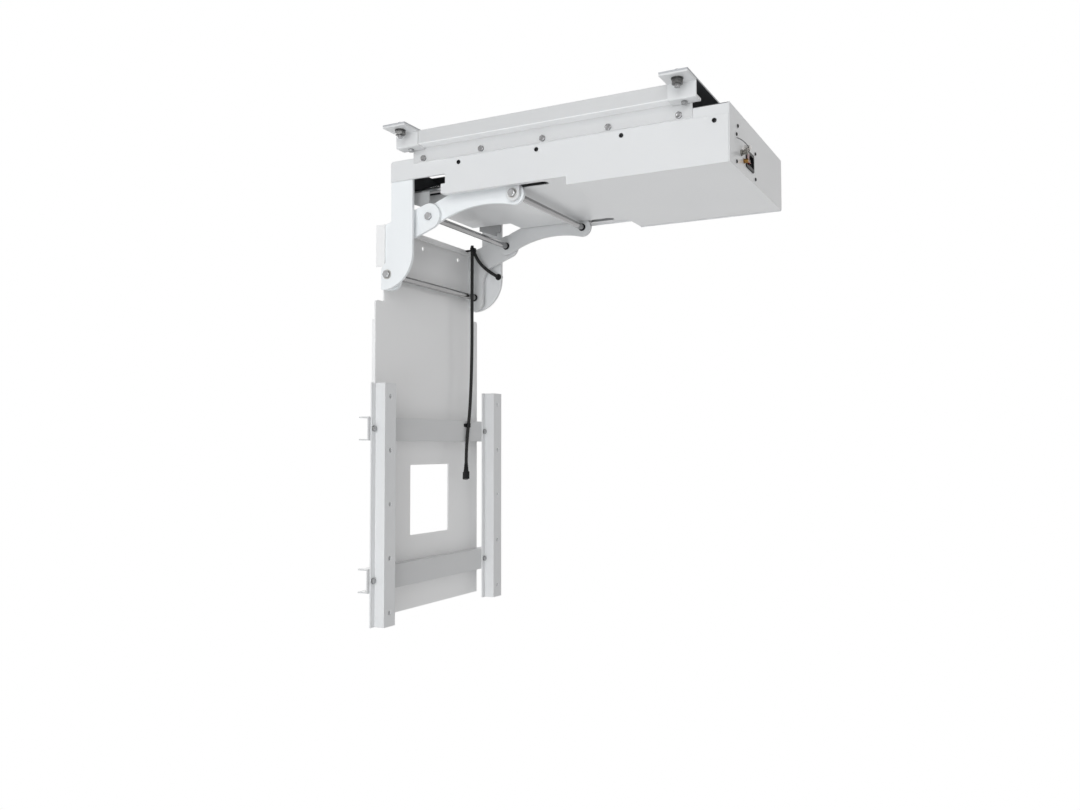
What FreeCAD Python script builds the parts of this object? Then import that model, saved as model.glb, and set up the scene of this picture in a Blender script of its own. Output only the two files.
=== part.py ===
# Motorized flip-down ceiling mount, at real size in millimetres.
# Frame: +Z up, z = 0 is the ceiling, the origin is the centre of the four ceiling studs.
# The long box runs along Y. Its connector end points to -Y, and the column hangs at +Y.
# Left is -X and right is +X, seen from the connector end.
import FreeCAD
import Part
import Sketcher
import math
import os

from FreeCAD import Rotation, Vector

# Ceiling studs and hanger brackets
stud_pitch_y = 534.0
stud_dia = 10.0
stud_thread_dia = 9.6
stud_above = 8.0
stud_tail = 5.0
stud_hole_gap = 0.5
nut_height = 8.0
nut_across = 17.0
washer_dia = 20.0
washer_thk = 2.0
strap_thk = 3.0
bracket_len = 48.0
bracket_flange = 42.0
bracket_thk = 3.0
bracket_foot = 22.0
shelf_drop = 29.0

# Hanger rails
rail_thk = 3.0
rail_skirt = 26.0
rail_len = 578.0
rail_rear = 288.0
rail_nose = 14.0
skirt_back = 18.0
shelf_width = 26.0
rail_bolt_pitch = 125.0
rail_bolt_drop = 49.0
rail_bolt_rear = 246.5

# Bolts, screws and the tools that cut their holes
rail_bolt_dia = 6.0
rail_bolt_across = 10.0
rail_head_height = 4.0
rail_nut_height = 5.0
rail_bolt_tail = 1.0
shelf_head_dia = 12.0
shelf_head_height = 3.0
shelf_bolt_tail = 0.5
bolt_hole_gap = 0.2
cut_len = 40.0
cut_over = 5.0

# Box and frame
box_front = 336.5
roof_drop = 40.0
roof_thk = 1.5
roof_inset = 1.0
frame_half = 178.0
frame_rear = 324.0
side_thk = 5.0
side_height = 43.0
side_flange = 22.0
side_flange_thk = 3.0
tab_step = 4.5
tab_round = 6.0
tab_behind = 1.0
sheet_thk = 1.5
cover_rear = 200.5
cover_top_drop = 57.5
cover_lip = 2.5
cover_screw_pitch = 161.0
cover_screw_drop = 66.0
cover_screw_front = 24.5
cover_screw_dia = 4.0
cover_head_dia = 8.0
cover_head_height = 2.2
cover_screw_tail = 2.0

# Rear tray and deep front pan
deep_len = 289.0
deep_drop = 135.0
tray_drop = 119.0
tray_lip = 18.0
tray_gap = 0.3
riser_above = 4.0
notch_front = 211.0
notch_width = 89.0
tongue_rear = 303.5
tongue_lip = 27.0
tongue_tab_width = 120.0
tongue_tab_back = 6.0
slot_edge = 12.0
slot_width = 21.0
slot_front = 1.5
slot_round = 9.0

# Pivots, seen from the side as y and drop below the ceiling
hip_y = 335.5
hip_drop = 259.0
knuckle_ahead = 84.0
knuckle_above = 106.0
carriage_y = 70.0
carriage_drop = 131.0
shaft_dia = 12.0
shoulder_dia = 10.0
thread_dia = 8.0
thread_len = 20.0
thread_gap = 0.15
tapped_depth = 25.0
run_gap = 0.05
seat_gap = 0.02
end_gap = 0.1
part_gap = 0.3
bush_wall = 1.6
bush_flange = 1.0
bush_flange_dia = 19.0
thrust_dia = 18.0
head_height = 5.3
head_across = 13.0

# Plates of the linkage
drop_thk = 6.0
drop_front = 277.5
drop_rear = 326.5
drop_hook = 14.0
drop_hook_round = 3.0
drop_bottom = 29.0
drop_round = 68.0
drop_neck_low = 13.0
drop_neck_high = 35.0
drop_neck_round = 10.0
claw_gap = 10.0
claw_thk = 6.0
claw_round = 24.0
claw_lean = 20.0
claw_bend_round = 40.0
claw_toe_ahead = 20.0
claw_toe_round = 18.0
claw_heel_round = 8.0
claw_toe_rise = 1.0
round_rest = 0.5
arm_gap = 2.0
arm_thk = 6.0
arm_half = 19.0
arm_curve = 250.0
lug_gap = 15.0
lug_thk = 6.0
lug_round = 14.0
lug_shoulder = 14.0

# Column and its shoulders
web_behind = 16.0
web_thk = 3.0
web_top = 101.0
web_over = 3.0
hem_depth = 12.0
hem_drop = 10.0
hem_inset = 1.0
pilot_left = 28.0
pilot_right = 106.0
pilot_drop = 23.0
pilot_dia = 9.0
window_half = 70.0
shoulder_out = 27.0
shoulder_below = 49.0
shoulder_round = 6.0
flange_depth = 20.0
flange_low = 20.0
low_flange_depth = 8.0
low_flange_below = 37.0
column_bottom = 910.0

# Fixing rails
vesa_drop = 695.0
vesa_pitch = 400.0
cross_pitch = 280.0
cross_height = 44.0
cross_depth = 22.0
cross_half = 235.0
fold_thk = 2.5
upright_width = 34.0
upright_depth = 24.0
upright_len = 450.0
foot_width = 12.0
vesa_hole_dia = 8.6
foot_bolt_len = 12.0

# Guide rods, carriage and actuator
rod_inset = 38.0
rod_drop = 92.0
rod_dia = 12.0
rod_front = 20.0
carriage_len = 80.0
plate_drop = 72.0
plate_thk = 6.0
block_width = 30.0
block_height = 36.0
block_len = 30.0
cross_thk = 5.0
cross_ear = 8.0
cross_below = 1.0
cross_behind = 3.0
middle_above = 7.0
mount_ahead = 46.0
tube_dia = 36.0
tube_wall = 4.0
tube_rear_len = 226.0
tube_end = 20.0
tube_floor = 8.0
tube_nose = 10.0
ram_dia = 20.0
ram_len = 222.0
ram_eye_y = 46.0
ram_eye_dia = 22.0
ram_eye_width = 17.0
ram_neck_len = 16.0
ram_neck_height = 18.0
ram_ear_thk = 5.0
ram_ear_len = 28.0
ram_ear_out = 15.0
ram_ear_back = 1.0
ram_ear_below = 14.0
ram_pin_len = 32.0
motor_dia = 48.0
motor_len = 110.0
motor_aside = 50.0
gear_len = 50.0
gear_half = 28.0
gear_half_height = 30.0
gear_round = 12.0
tail_width = 16.0
tail_height = 20.0
eye_ahead = 15.0
mount_ear_out = 13.0
mount_ear_thk = 4.0
mount_ear_len = 25.0
mount_ear_height = 24.0
mount_base_width = 60.0
mount_pin_len = 30.0
pin_dia = 10.0

# Power supply and control board
tray_side_gap = 9.0
supply_width = 100.0
supply_len = 150.0
supply_height = 38.0
board_width = 70.0
board_len = 110.0
board_thk = 1.6
board_lift = 6.0
board_edge = 4.0
standoff_dia = 6.0
tray_space = 12.0

# Connector end
port_x = 78.5
port_drop = 102.5
port_pitch_x = 119.0
port_pitch_z = 45.0
port_plate_edge = 7.0
port_plate_thk = 1.2
port_screw_dia = 3.0
port_screw_len = 6.0
port_hole_dia = 3.4
port_head_dia = 6.0
port_head_height = 1.8
spare_in = 8.0
spare_up = 16.0
inlet_x = 57.0
inlet_drop = 103.0
inlet_width = 49.0
inlet_height = 31.0
inlet_flange_thk = 2.0
inlet_step = 2.3
inlet_depth = 24.0
inlet_window_inset = 2.0
socket_in = 17.0
socket_width = 27.0
socket_height = 19.0
socket_depth = 17.0
blade_thk = 2.0
blade_height = 5.0
blade_len = 15.0
blade_back = 3.0
blade_apart = 7.0
blade_up = 2.5
blade_down = 3.0
switch_in = 10.0
switch_width = 13.2
switch_height = 20.8
switch_depth = 11.0
rocker_width = 12.0
rocker_back = 5.0
rocker_tilt = 8.0
rocker_axle_dia = 3.0
rocker_axle_len = 12.8
coax_aside = 31.5
coax_below = 0.5
aerial_aside = 10.0
aerial_above = 12.5
signal_aside = 14.5
signal_below = 10.0
jack_dia = 8.0
jack_len = 12.0
jack_behind = 16.0
jack_across = 10.0
jack_nut_thk = 3.0
jack_bore_dia = 4.4
jack_bore_depth = 8.0
jack_hole_dia = 8.4
signal_dia = 7.0
signal_collar_dia = 8.4
signal_collar_thk = 1.5
signal_len = 8.0
signal_bore_dia = 3.6
signal_bore_depth = 6.0
signal_hole_dia = 7.4

# Cords, their clips and the grommet
cable_dia = 7.0
cable_inset = 30.0
cable_ahead = 1.5
cable_rest = 0.3
plug_dia = 16.0
plug_len = 34.0
plug_gap = 0.2
grommet_back = 7.0
grommet_drop = 214.0
grommet_dia = 9.0
grommet_lip = 2.5
grommet_lip_thk = 1.5
loop_aside = 8.0
loop_below = 4.0
loop_end_gap = 2.7
clip_height = 9.0
clip_left = 8.0
clip_width = 21.0
clip_depth = 13.0
clip_foot_width = 12.0
clip_foot_thk = 3.0
clip_bore_gap = 0.3
saddle_aside = 12.2
saddle_above = 8.0
saddle_width = 14.0
saddle_depth = 9.5
saddle_height = 10.0
saddle_feet_width = 26.0
saddle_feet_thk = 1.6
saddle_bore_gap = 0.9
wire_dia = 1.6
wire_start_gap = 0.65
wire_start_below = 6.0
wire_end_ahead = 8.0
wire_end_above = 1.0

os.makedirs("parts", exist_ok=True)
doc = FreeCAD.newDocument("ceiling_mount")


class Size:
    """A length that carries its value and the sheet expression that gives it."""

    def __init__(self, value, text):
        self.value = float(value)
        self.text = text

    @staticmethod
    def of(other):
        if isinstance(other, Size):
            return other
        return Size(other, "(%r)" % float(other))

    def _join(self, other, sign, value):
        return Size(value, "(%s %s %s)" % (self.text, sign, Size.of(other).text))

    def __add__(self, other):
        return self._join(other, "+", self.value + Size.of(other).value)

    def __sub__(self, other):
        return self._join(other, "-", self.value - Size.of(other).value)

    def __mul__(self, other):
        return self._join(other, "*", self.value * Size.of(other).value)

    def __truediv__(self, other):
        return self._join(other, "/", self.value / Size.of(other).value)

    def __radd__(self, other):
        return Size.of(other) + self

    def __rsub__(self, other):
        return Size.of(other) - self

    def __rmul__(self, other):
        return Size.of(other) * self

    def __neg__(self):
        return Size(-self.value, "(-1 * %s)" % self.text)


class Sheet:
    """The driving dimensions, each in a cell of the sheet under its own name."""

    def __init__(self):
        self.cells = doc.addObject("Spreadsheet::Sheet", "Dims")
        self.row = 0

    def set(self, name, value):
        self.row += 1
        self.cells.set("A%d" % self.row, name)
        self.cells.set("B%d" % self.row, str(value))
        self.cells.setAlias("B%d" % self.row, name)
        size = Size(value, "Dims." + name)
        setattr(self, name, size)
        return size

d = Sheet()
for name, value in list(globals().items()):
    if isinstance(value, float):
        d.set(name, value)
doc.recompute()

DIRECTION = {
    "YZ": ("YZ_Plane", Vector(1, 0, 0)),
    "XZ": ("XZ_Plane", Vector(0, -1, 0)),
    "XY": ("XY_Plane", Vector(0, 0, 1)),
}


def bind(thing, name, size):
    """Drive one property by the sheet."""
    thing.setExpression(name, Size.of(size).text)


def place(thing, x=0, y=0, z=0, rotation=None):
    """Put an object at x, y, z, each driven by the sheet."""
    values = [Size.of(value) for value in (x, y, z)]
    base = Vector(*[value.value for value in values])
    thing.Placement = FreeCAD.Placement(base, rotation or Rotation())
    for axis, value in zip("xyz", values):
        if "Dims" in value.text:
            thing.setExpression("Placement.Base." + axis, value.text)
    return thing


def plane(body, name):
    """One of the body's own origin planes."""
    for feature in body.Origin.OriginFeatures:
        if feature.Role == DIRECTION[name][0]:
            return feature


def new_sketch(body, name, facing, offset):
    """A sketch on an origin plane of the body, moved along its normal."""
    sketch = body.newObject("Sketcher::SketchObject", name)
    sketch.AttachmentSupport = [(plane(body, facing), "")]
    sketch.MapMode = "FlatFace"
    offset = Size.of(offset)
    if offset.value or "Dims" in offset.text:
        sketch.AttachmentOffset = FreeCAD.Placement(Vector(0, 0, offset.value), Rotation())
        sketch.setExpression("AttachmentOffset.Base.z", offset.text)
    return sketch


def fix_point(sketch, geometry, end, u, v):
    """Hold a point of a sketch at u, v from the origin, driven by the sheet."""
    for kind, value in (("DistanceX", u), ("DistanceY", v)):
        value = Size.of(value)
        number = sketch.addConstraint(Sketcher.Constraint(kind, -1, 1, geometry, end, value.value))
        if "Dims" in value.text:
            sketch.setExpression("Constraints[%d]" % number, value.text)


def draw_outline(sketch, points):
    """A closed outline of straight edges through points."""
    count = len(points)
    ends = [Vector(Size.of(u).value, Size.of(v).value, 0) for u, v in points]
    first = sketch.GeometryCount
    for i in range(count):
        sketch.addGeometry(Part.LineSegment(ends[i], ends[(i + 1) % count]), False)
    for i in range(count):
        after = first + (i + 1) % count
        sketch.addConstraint(Sketcher.Constraint("Coincident", first + i, 2, after, 1))
    for i in range(count):
        fix_point(sketch, first + i, 1, *points[i])


def draw_circle(sketch, u, v, radius):
    """A circle whose centre and radius follow the sheet."""
    u, v, radius = Size.of(u), Size.of(v), Size.of(radius)
    circle = Part.Circle(Vector(u.value, v.value, 0), Vector(0, 0, 1), radius.value)
    number = sketch.addGeometry(circle, False)
    fix_point(sketch, number, 3, u, v)
    held = sketch.addConstraint(Sketcher.Constraint("Radius", number, radius.value))
    if "Dims" in radius.text:
        sketch.setExpression("Constraints[%d]" % held, radius.text)


def start_body(label):
    body = doc.addObject("PartDesign::Body", label)
    body.Label = label
    return body


def add_pad(body, facing, outline, length, offset=0, circles=(), windows=()):
    """Extrude an outline, with round holes and windows, along the plane's normal."""
    name = "%s_%s%d" % (body.Name, facing, len(body.Group))
    sketch = new_sketch(body, name + "_sketch", facing, offset)
    draw_outline(sketch, outline)
    for window in windows:
        draw_outline(sketch, window)
    for u, v, radius in circles:
        draw_circle(sketch, u, v, radius)
    pad = body.newObject("PartDesign::Pad", name)
    pad.Profile = sketch
    length = Size.of(length)
    pad.Length = length.value
    if "Dims" in length.text:
        bind(pad, "Length", length)
    sketch.Visibility = False
    doc.recompute()
    return pad


def add_rounds(body, facing, corners, radius):
    """Round the edges that run along the normal through the given corners."""
    feature = body.Tip
    normal = DIRECTION[facing][1]
    names = []
    spots = []
    for u, v in corners:
        u, v = Size.of(u).value, Size.of(v).value
        spots.append({"YZ": Vector(0, u, v), "XZ": Vector(u, 0, v), "XY": Vector(u, v, 0)}[facing])
    for number, edge in enumerate(feature.Shape.Edges, 1):
        if len(edge.Vertexes) != 2:
            continue
        a, b = [vertex.Point for vertex in edge.Vertexes]
        if (b - a).cross(normal).Length > 1e-6:
            continue
        flat = a - normal * a.dot(normal)
        if any((flat - spot).Length < 1e-4 for spot in spots):
            names.append("Edge%d" % number)
    if not names:
        raise RuntimeError("no edge to round on " + body.Label)
    fillet = body.newObject("PartDesign::Fillet", "%s_round%d" % (body.Name, len(body.Group)))
    fillet.Base = (feature, names)
    radius = Size.of(radius)
    fillet.Radius = radius.value
    if "Dims" in radius.text:
        bind(fillet, "Radius", radius)
    doc.recompute()
    return fillet


def cylinder(name, radius, length, x, y, z, along):
    """A cylinder from x, y, z along an axis."""
    thing = doc.addObject("Part::Cylinder", name)
    radius, length = Size.of(radius), Size.of(length)
    thing.Radius, thing.Height = radius.value, length.value
    if "Dims" in radius.text:
        bind(thing, "Radius", radius)
    if "Dims" in length.text:
        bind(thing, "Height", length)
    return place(thing, x, y, z, Rotation(Vector(0, 0, 1), along))


def hexagon(name, across, length, x, y, z, along):
    """A hexagonal prism from x, y, z along an axis."""
    thing = doc.addObject("Part::Prism", name)
    corner, length = Size.of(across) / (2 * math.cos(math.pi / 6)), Size.of(length)
    thing.Polygon = 6
    thing.Circumradius, thing.Height = corner.value, length.value
    if "Dims" in corner.text:
        bind(thing, "Circumradius", corner)
    if "Dims" in length.text:
        bind(thing, "Height", length)
    return place(thing, x, y, z, Rotation(Vector(0, 0, 1), along))


def box(name, x, y, z, dx, dy, dz):
    """A box from its low corner."""
    thing = doc.addObject("Part::Box", name)
    for key, value in (("Length", dx), ("Width", dy), ("Height", dz)):
        value = Size.of(value)
        setattr(thing, key, value.value)
        if "Dims" in value.text:
            bind(thing, key, value)
    return place(thing, x, y, z)


def fuse(label, things):
    joined = doc.addObject("Part::MultiFuse", label)
    joined.Label = label
    joined.Shapes = things
    joined.Refine = True
    return joined


def cut(label, base, tools):
    """Take tools out of a base."""
    result = doc.addObject("Part::Cut", label)
    result.Label = label
    if len(tools) == 1:
        tool = tools[0]
    else:
        tool = doc.addObject("Part::Compound", label + "_tools")
        tool.Links = tools
    result.Base, result.Tool = base, tool
    result.Refine = True
    return result


def group(label, things):
    """Several equal solids that make one node."""
    joined = doc.addObject("Part::Compound", label)
    joined.Label = label
    joined.Links = things
    return joined


X, Y, Z = Vector(1, 0, 0), Vector(0, 1, 0), Vector(0, 0, 1)
SIDES = (("left", -1), ("right", 1))
nodes = []


def start_x(sign, outer, thk):
    """The low x of a plate whose outer face stands at outer."""
    return -outer if sign < 0 else outer - thk


def keep(thing):
    nodes.append(thing)
    return thing


# Widths, worked out from the frame side: outwards to the hangers, inwards to the linkage
half = d.frame_half
inner = half - d.side_thk
rail_out = half + d.shelf_width
web_out = rail_out + d.bracket_thk
stud_x = web_out + d.bracket_flange / 2
stud_y = d.stud_pitch_y / 2
drop_inner = inner - d.drop_thk
claw_outer = drop_inner - d.claw_gap
lug_outer = inner - d.lug_gap
arm_outer = lug_outer - d.lug_thk - d.arm_gap
rod_half = lug_outer - d.rod_inset
web_half = claw_outer + d.web_over
shoulder_half = web_half + d.shoulder_out
slot_outer = inner - d.slot_edge
slot_inner = slot_outer - d.slot_width
tongue_half = half - d.notch_width
tray_side = inner - d.tray_side_gap
flange_end = stud_x + d.bracket_flange / 2
flange_z = -(d.strap_thk + d.bracket_thk)
stud_hole = d.stud_dia / 2 + d.stud_hole_gap
bolt_hole = d.rail_bolt_dia / 2 + d.bolt_hole_gap

# Two straps against the ceiling, each joining the brackets of one end
straps = []
for end, towards in (("front", -1), ("rear", 1)):
    body = start_body("%s_strap" % end)
    middle = stud_y * towards
    low, high = middle - d.bracket_len / 2, middle + d.bracket_len / 2
    outline = [(-flange_end, low), (flange_end, low), (flange_end, high), (-flange_end, high)]
    add_pad(body, "XY", outline, d.strap_thk, -d.strap_thk,
            circles=[(-stud_x, middle, stud_hole), (stud_x, middle, stud_hole)])
    straps.append(body)
keep(group("ceiling_straps", straps))

# Four folded hanger brackets: top flange on the stud, web, foot under the rail's shelf
foot_z = -(d.shelf_drop + d.bracket_thk)
foot_end = rail_out - d.bracket_foot
brackets = []
for end, towards in (("front", -1), ("rear", 1)):
    for side, sign in SIDES:
        middle = stud_y * towards
        name = "hanger_bracket_%s_%s" % (end, side)
        body = start_body(name + "_fold")
        outline = [(flange_end * sign, -d.strap_thk), (flange_end * sign, flange_z),
                   (web_out * sign, flange_z), (web_out * sign, foot_z),
                   (foot_end * sign, foot_z), (foot_end * sign, -d.shelf_drop),
                   (rail_out * sign, -d.shelf_drop), (rail_out * sign, -d.strap_thk)]
        add_pad(body, "XZ", outline, d.bracket_len, -(middle + d.bracket_len / 2))
        add_rounds(body, "XZ", [(web_out * sign, foot_z)], d.bracket_thk)
        shelf_x = (rail_out - d.bracket_foot / 2) * sign
        holes = [cylinder(name + "_stud_hole", stud_hole, d.cut_len, stud_x * sign, middle,
                          flange_z - d.cut_over, Z),
                 cylinder(name + "_shelf_hole", bolt_hole, d.cut_len, shelf_x, middle,
                          foot_z - d.cut_over, Z)]
        brackets.append(cut(name, body, holes))
keep(group("hanger_brackets", brackets))

# Studs from the ceiling with washer and nut under each flange
studs, nuts, washers, shelf_bolts = [], [], [], []
nut_z = flange_z - d.washer_thk - d.nut_height
stud_low = nut_z - d.stud_tail
for end, towards in (("front", -1), ("rear", 1)):
    for side, sign in SIDES:
        tag = "_%s_%s" % (end, side)
        x, y = stud_x * sign, stud_y * towards
        studs.append(fuse("stud" + tag, [
            cylinder("stud_anchor" + tag, d.stud_dia / 2, d.stud_above, x, y, 0, Z),
            cylinder("stud_thread" + tag, d.stud_thread_dia / 2, -stud_low, x, y, stud_low, Z)]))
        bore = d.stud_thread_dia / 2 + d.thread_gap
        washers.append(cut("washer" + tag,
                           cylinder("washer_disc" + tag, d.washer_dia / 2, d.washer_thk, x, y,
                                    flange_z - d.washer_thk, Z),
                           [cylinder("washer_bore" + tag, bore, d.cut_len, x, y, nut_z, Z)]))
        nuts.append(cut("nut" + tag,
                        hexagon("nut_hex" + tag, d.nut_across, d.nut_height, x, y, nut_z, Z),
                        [cylinder("nut_bore" + tag, bore, d.cut_len, x, y,
                                  nut_z - d.cut_over, Z)]))
        shelf_x = (rail_out - d.bracket_foot / 2) * sign
        shelf_nut_z = foot_z - d.rail_nut_height
        shelf_tail_z = shelf_nut_z - d.shelf_bolt_tail
        shelf_top = -d.shelf_drop + d.rail_thk
        shelf_bolts.append(fuse("shelf_bolt" + tag, [
            cylinder("shelf_shank" + tag, d.rail_bolt_dia / 2, shelf_top - shelf_tail_z, shelf_x,
                     y, shelf_tail_z, Z),
            cylinder("shelf_head" + tag, d.shelf_head_dia / 2, d.shelf_head_height, shelf_x, y,
                     shelf_top, Z),
            hexagon("shelf_nut" + tag, d.rail_bolt_across, d.rail_nut_height, shelf_x, y,
                    shelf_nut_z, Z)]))
keep(group("ceiling_studs", studs))
keep(group("ceiling_nuts", nuts + washers))

# Folded hanger rails: outer web, shelf, and skirt bolted to the frame sides
bolt_rows = [d.rail_bolt_rear - d.rail_bolt_pitch * i for i in range(5)]
rail_top = -(d.strap_thk + d.tray_gap)
skirt_out = d.frame_half + d.rail_thk
skirt_low = -(d.shelf_drop + d.rail_skirt)
rails, rail_bolts = [], []
for side, sign in SIDES:
    body = start_body("rail_%s_fold" % side)
    add_pad(body, "XZ", [(rail_out * sign, rail_top), (rail_out * sign, -d.shelf_drop),
                         (d.frame_half * sign, -d.shelf_drop), (d.frame_half * sign, shelf_top),
                         ((rail_out - d.rail_thk) * sign, shelf_top),
                         ((rail_out - d.rail_thk) * sign, rail_top)], d.rail_len, -d.rail_rear)
    add_pad(body, "XZ", [(d.frame_half * sign, shelf_top), (skirt_out * sign, shelf_top),
                         (skirt_out * sign, skirt_low), (d.frame_half * sign, skirt_low)],
            d.rail_len - d.rail_nose - d.skirt_back, -(d.rail_rear - d.skirt_back))
    add_rounds(body, "XZ", [(rail_out * sign, -d.shelf_drop)], d.rail_thk)
    holes = []
    away = Vector(sign, 0, 0)
    for i, y in enumerate(bolt_rows):
        tag = "%s%d" % (side, i)
        holes.append(cylinder("rail_hole_" + tag, bolt_hole, d.cut_len,
                              start_x(sign, skirt_out + d.cut_over, d.cut_len), y,
                              -d.rail_bolt_drop, X))
        tail_x = inner - d.rail_nut_height - d.rail_bolt_tail
        rail_bolts.append(fuse("rail_bolt_" + tag, [
            hexagon("rail_head_" + tag, d.rail_bolt_across, d.rail_head_height, skirt_out * sign,
                    y, -d.rail_bolt_drop, away),
            cylinder("rail_shank_" + tag, d.rail_bolt_dia / 2, skirt_out - tail_x, tail_x * sign,
                     y, -d.rail_bolt_drop, away),
            hexagon("rail_nut_" + tag, d.rail_bolt_across, d.rail_nut_height, inner * sign, y,
                    -d.rail_bolt_drop, -away)]))
    for end, towards in (("front", -1), ("rear", 1)):
        holes.append(cylinder("rail_%s_%s_foot_hole" % (side, end), bolt_hole, d.cut_len,
                              (rail_out - d.bracket_foot / 2) * sign, stud_y * towards,
                              -d.shelf_drop - d.cut_over, Z))
    rails.append(cut("hanger_rail_%s" % side, body, holes))
keep(group("hanger_rails", rails))
keep(group("rail_bolts", rail_bolts + shelf_bolts))

# Frame sides: thick web with a top flange, and a low rounded tab behind the rails
screw_rows = [-d.box_front + d.cover_screw_front + d.cover_screw_pitch * i for i in range(4)]
screw_hole = d.cover_screw_dia / 2 + d.bolt_hole_gap
side_top, side_low = -d.roof_drop, -(d.roof_drop + d.side_height)
tab_top = side_top - d.tab_step
tab_y = d.rail_rear - d.skirt_back + d.tab_behind
box_y = -(d.box_front - d.sheet_thk)
frame_sides = []
for side, sign in SIDES:
    body = start_body("frame_side_%s" % side)
    web = [(box_y, side_low), (d.frame_rear, side_low), (d.frame_rear, tab_top),
           (tab_y, tab_top), (tab_y - d.tab_step, side_top), (box_y, side_top)]
    circles = [(y, -d.rail_bolt_drop, bolt_hole) for y in bolt_rows]
    circles += [(y, -d.cover_screw_drop, screw_hole) for y in screw_rows]
    add_pad(body, "YZ", web, d.side_thk, start_x(sign, d.frame_half, d.side_thk), circles)
    add_rounds(body, "YZ", [(d.frame_rear, tab_top)], d.tab_round)
    add_pad(body, "YZ", [(box_y, side_top - d.side_flange_thk),
                         (tab_y - d.tab_step, side_top - d.side_flange_thk),
                         (tab_y - d.tab_step, side_top), (box_y, side_top)],
            d.side_flange, start_x(sign, d.frame_half, d.side_flange))
    frame_sides.append(body)
keep(group("frame_sides", frame_sides))

# Roof sheet on the frame's top flanges
roof_half = d.frame_half - d.roof_inset
roof_rear = tab_y - d.tab_step
body = start_body("roof_panel")
add_pad(body, "XY", [(-roof_half, box_y), (roof_half, box_y), (roof_half, roof_rear),
                     (-roof_half, roof_rear)], d.roof_thk, side_top)
keep(body)

# Side covers with the step between the deep front and the shallow rear
covers, cover_screws = [], []
deep_low = -(d.deep_drop + d.cover_lip / 2)
shallow_low = -(d.tray_drop + d.cover_lip)
step_y = -d.box_front + d.deep_len
cover_out = d.frame_half + d.sheet_thk
for side, sign in SIDES:
    body = start_body("side_cover_%s" % side)
    circles = [(y, -d.cover_screw_drop, screw_hole) for y in screw_rows]
    add_pad(body, "YZ", [(box_y, -d.cover_top_drop), (box_y, deep_low),
                         (step_y, deep_low), (step_y, shallow_low), (d.cover_rear, shallow_low),
                         (d.cover_rear, -d.cover_top_drop)],
            d.sheet_thk, start_x(sign, cover_out, d.sheet_thk), circles)
    covers.append(body)
    away = Vector(sign, 0, 0)
    tail_x = inner - d.cover_screw_tail
    for i, y in enumerate(screw_rows):
        tag = "%s%d" % (side, i)
        cover_screws.append(fuse("cover_screw_" + tag, [
            cylinder("cover_head_" + tag, d.cover_head_dia / 2, d.cover_head_height,
                     cover_out * sign, y, -d.cover_screw_drop, away),
            cylinder("cover_shank_" + tag, d.cover_screw_dia / 2, cover_out - tail_x,
                     tail_x * sign, y, -d.cover_screw_drop, away)]))
keep(group("side_covers", covers))
keep(group("cover_screws", cover_screws))

# Rear tray: a T-shaped sheet with two long slots that open into the side notches
front_y = -d.box_front
body = start_body("rear_tray")
right = [(half, step_y), (half, d.notch_front), (slot_outer, d.notch_front),
         (slot_outer, d.slot_front), (slot_inner, d.slot_front),
         (slot_inner, d.notch_front), (tongue_half, d.notch_front),
         (tongue_half, d.tongue_rear)]
left = [(-x, y) for x, y in reversed(right)]
add_pad(body, "XY", right + left, d.sheet_thk, -d.tray_drop)
add_rounds(body, "XY", [(slot_outer, d.slot_front), (slot_inner, d.slot_front),
                        (-slot_outer, d.slot_front), (-slot_inner, d.slot_front)],
           d.slot_round)
for side, sign in SIDES:
    low = start_x(sign, half, d.sheet_thk)
    high = low + d.sheet_thk
    add_pad(body, "XY", [(low, step_y), (high, step_y), (high, d.notch_front),
                         (low, d.notch_front)], d.tray_lip, -d.tray_drop)
    low = start_x(sign, tongue_half, d.sheet_thk)
    high = low + d.sheet_thk
    add_pad(body, "XY", [(low, d.notch_front), (high, d.notch_front), (high, d.tongue_rear),
                         (low, d.tongue_rear)], d.tongue_lip, -d.tray_drop)
cross_low = side_low - d.cross_below
hang_rear = d.frame_rear - d.tongue_tab_back
hang_front = d.tongue_rear - d.sheet_thk
add_pad(body, "YZ", [(hang_front, -d.tray_drop), (d.tongue_rear, -d.tray_drop),
                     (d.tongue_rear, cross_low - d.sheet_thk),
                     (hang_rear, cross_low - d.sheet_thk), (hang_rear, cross_low),
                     (hang_front, cross_low)], d.tongue_tab_width, -d.tongue_tab_width / 2)
keep(body)

# Deep front pan: end face with connector openings, bottom, riser of the step, side lips
inner_front = front_y + d.sheet_thk
port_screws = [(-d.port_x + sx * d.port_pitch_x / 2, -d.port_drop + sz * d.port_pitch_z / 2)
               for sx in (-1, 1) for sz in (-1, 1)]
spare_screw = (port_screws[1][0] + d.spare_in, port_screws[1][1] + d.spare_up)
inlet_low_x = -d.inlet_x - d.inlet_width / 2
inlet_high_x = -d.inlet_x + d.inlet_width / 2
inlet_low_z = -d.inlet_drop - d.inlet_height / 2
inlet_high_z = -d.inlet_drop + d.inlet_height / 2
inset = d.inlet_window_inset
window = [(inlet_low_x + inset, inlet_low_z + inset), (inlet_high_x - inset, inlet_low_z + inset),
          (inlet_high_x - inset, inlet_high_z - inset), (inlet_low_x + inset, inlet_high_z - inset)]
coax_spot = (-d.port_x - d.coax_aside, -d.port_drop - d.coax_below)
aerial_spot = (-d.port_x - d.aerial_aside, -d.port_drop + d.aerial_above)
signal_spot = (-d.port_x - d.signal_aside, -d.port_drop - d.signal_below)
port_hole = d.port_hole_dia / 2
port_holes = [(x, z, port_hole) for x, z in port_screws]
jack_holes = [coax_spot + (d.jack_hole_dia / 2,), aerial_spot + (d.jack_hole_dia / 2,),
              signal_spot + (d.signal_hole_dia / 2,)]
body = start_body("front_pan")
face_top = -d.roof_drop + d.roof_thk
riser_top = -d.tray_drop + d.sheet_thk + d.riser_above
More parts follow.
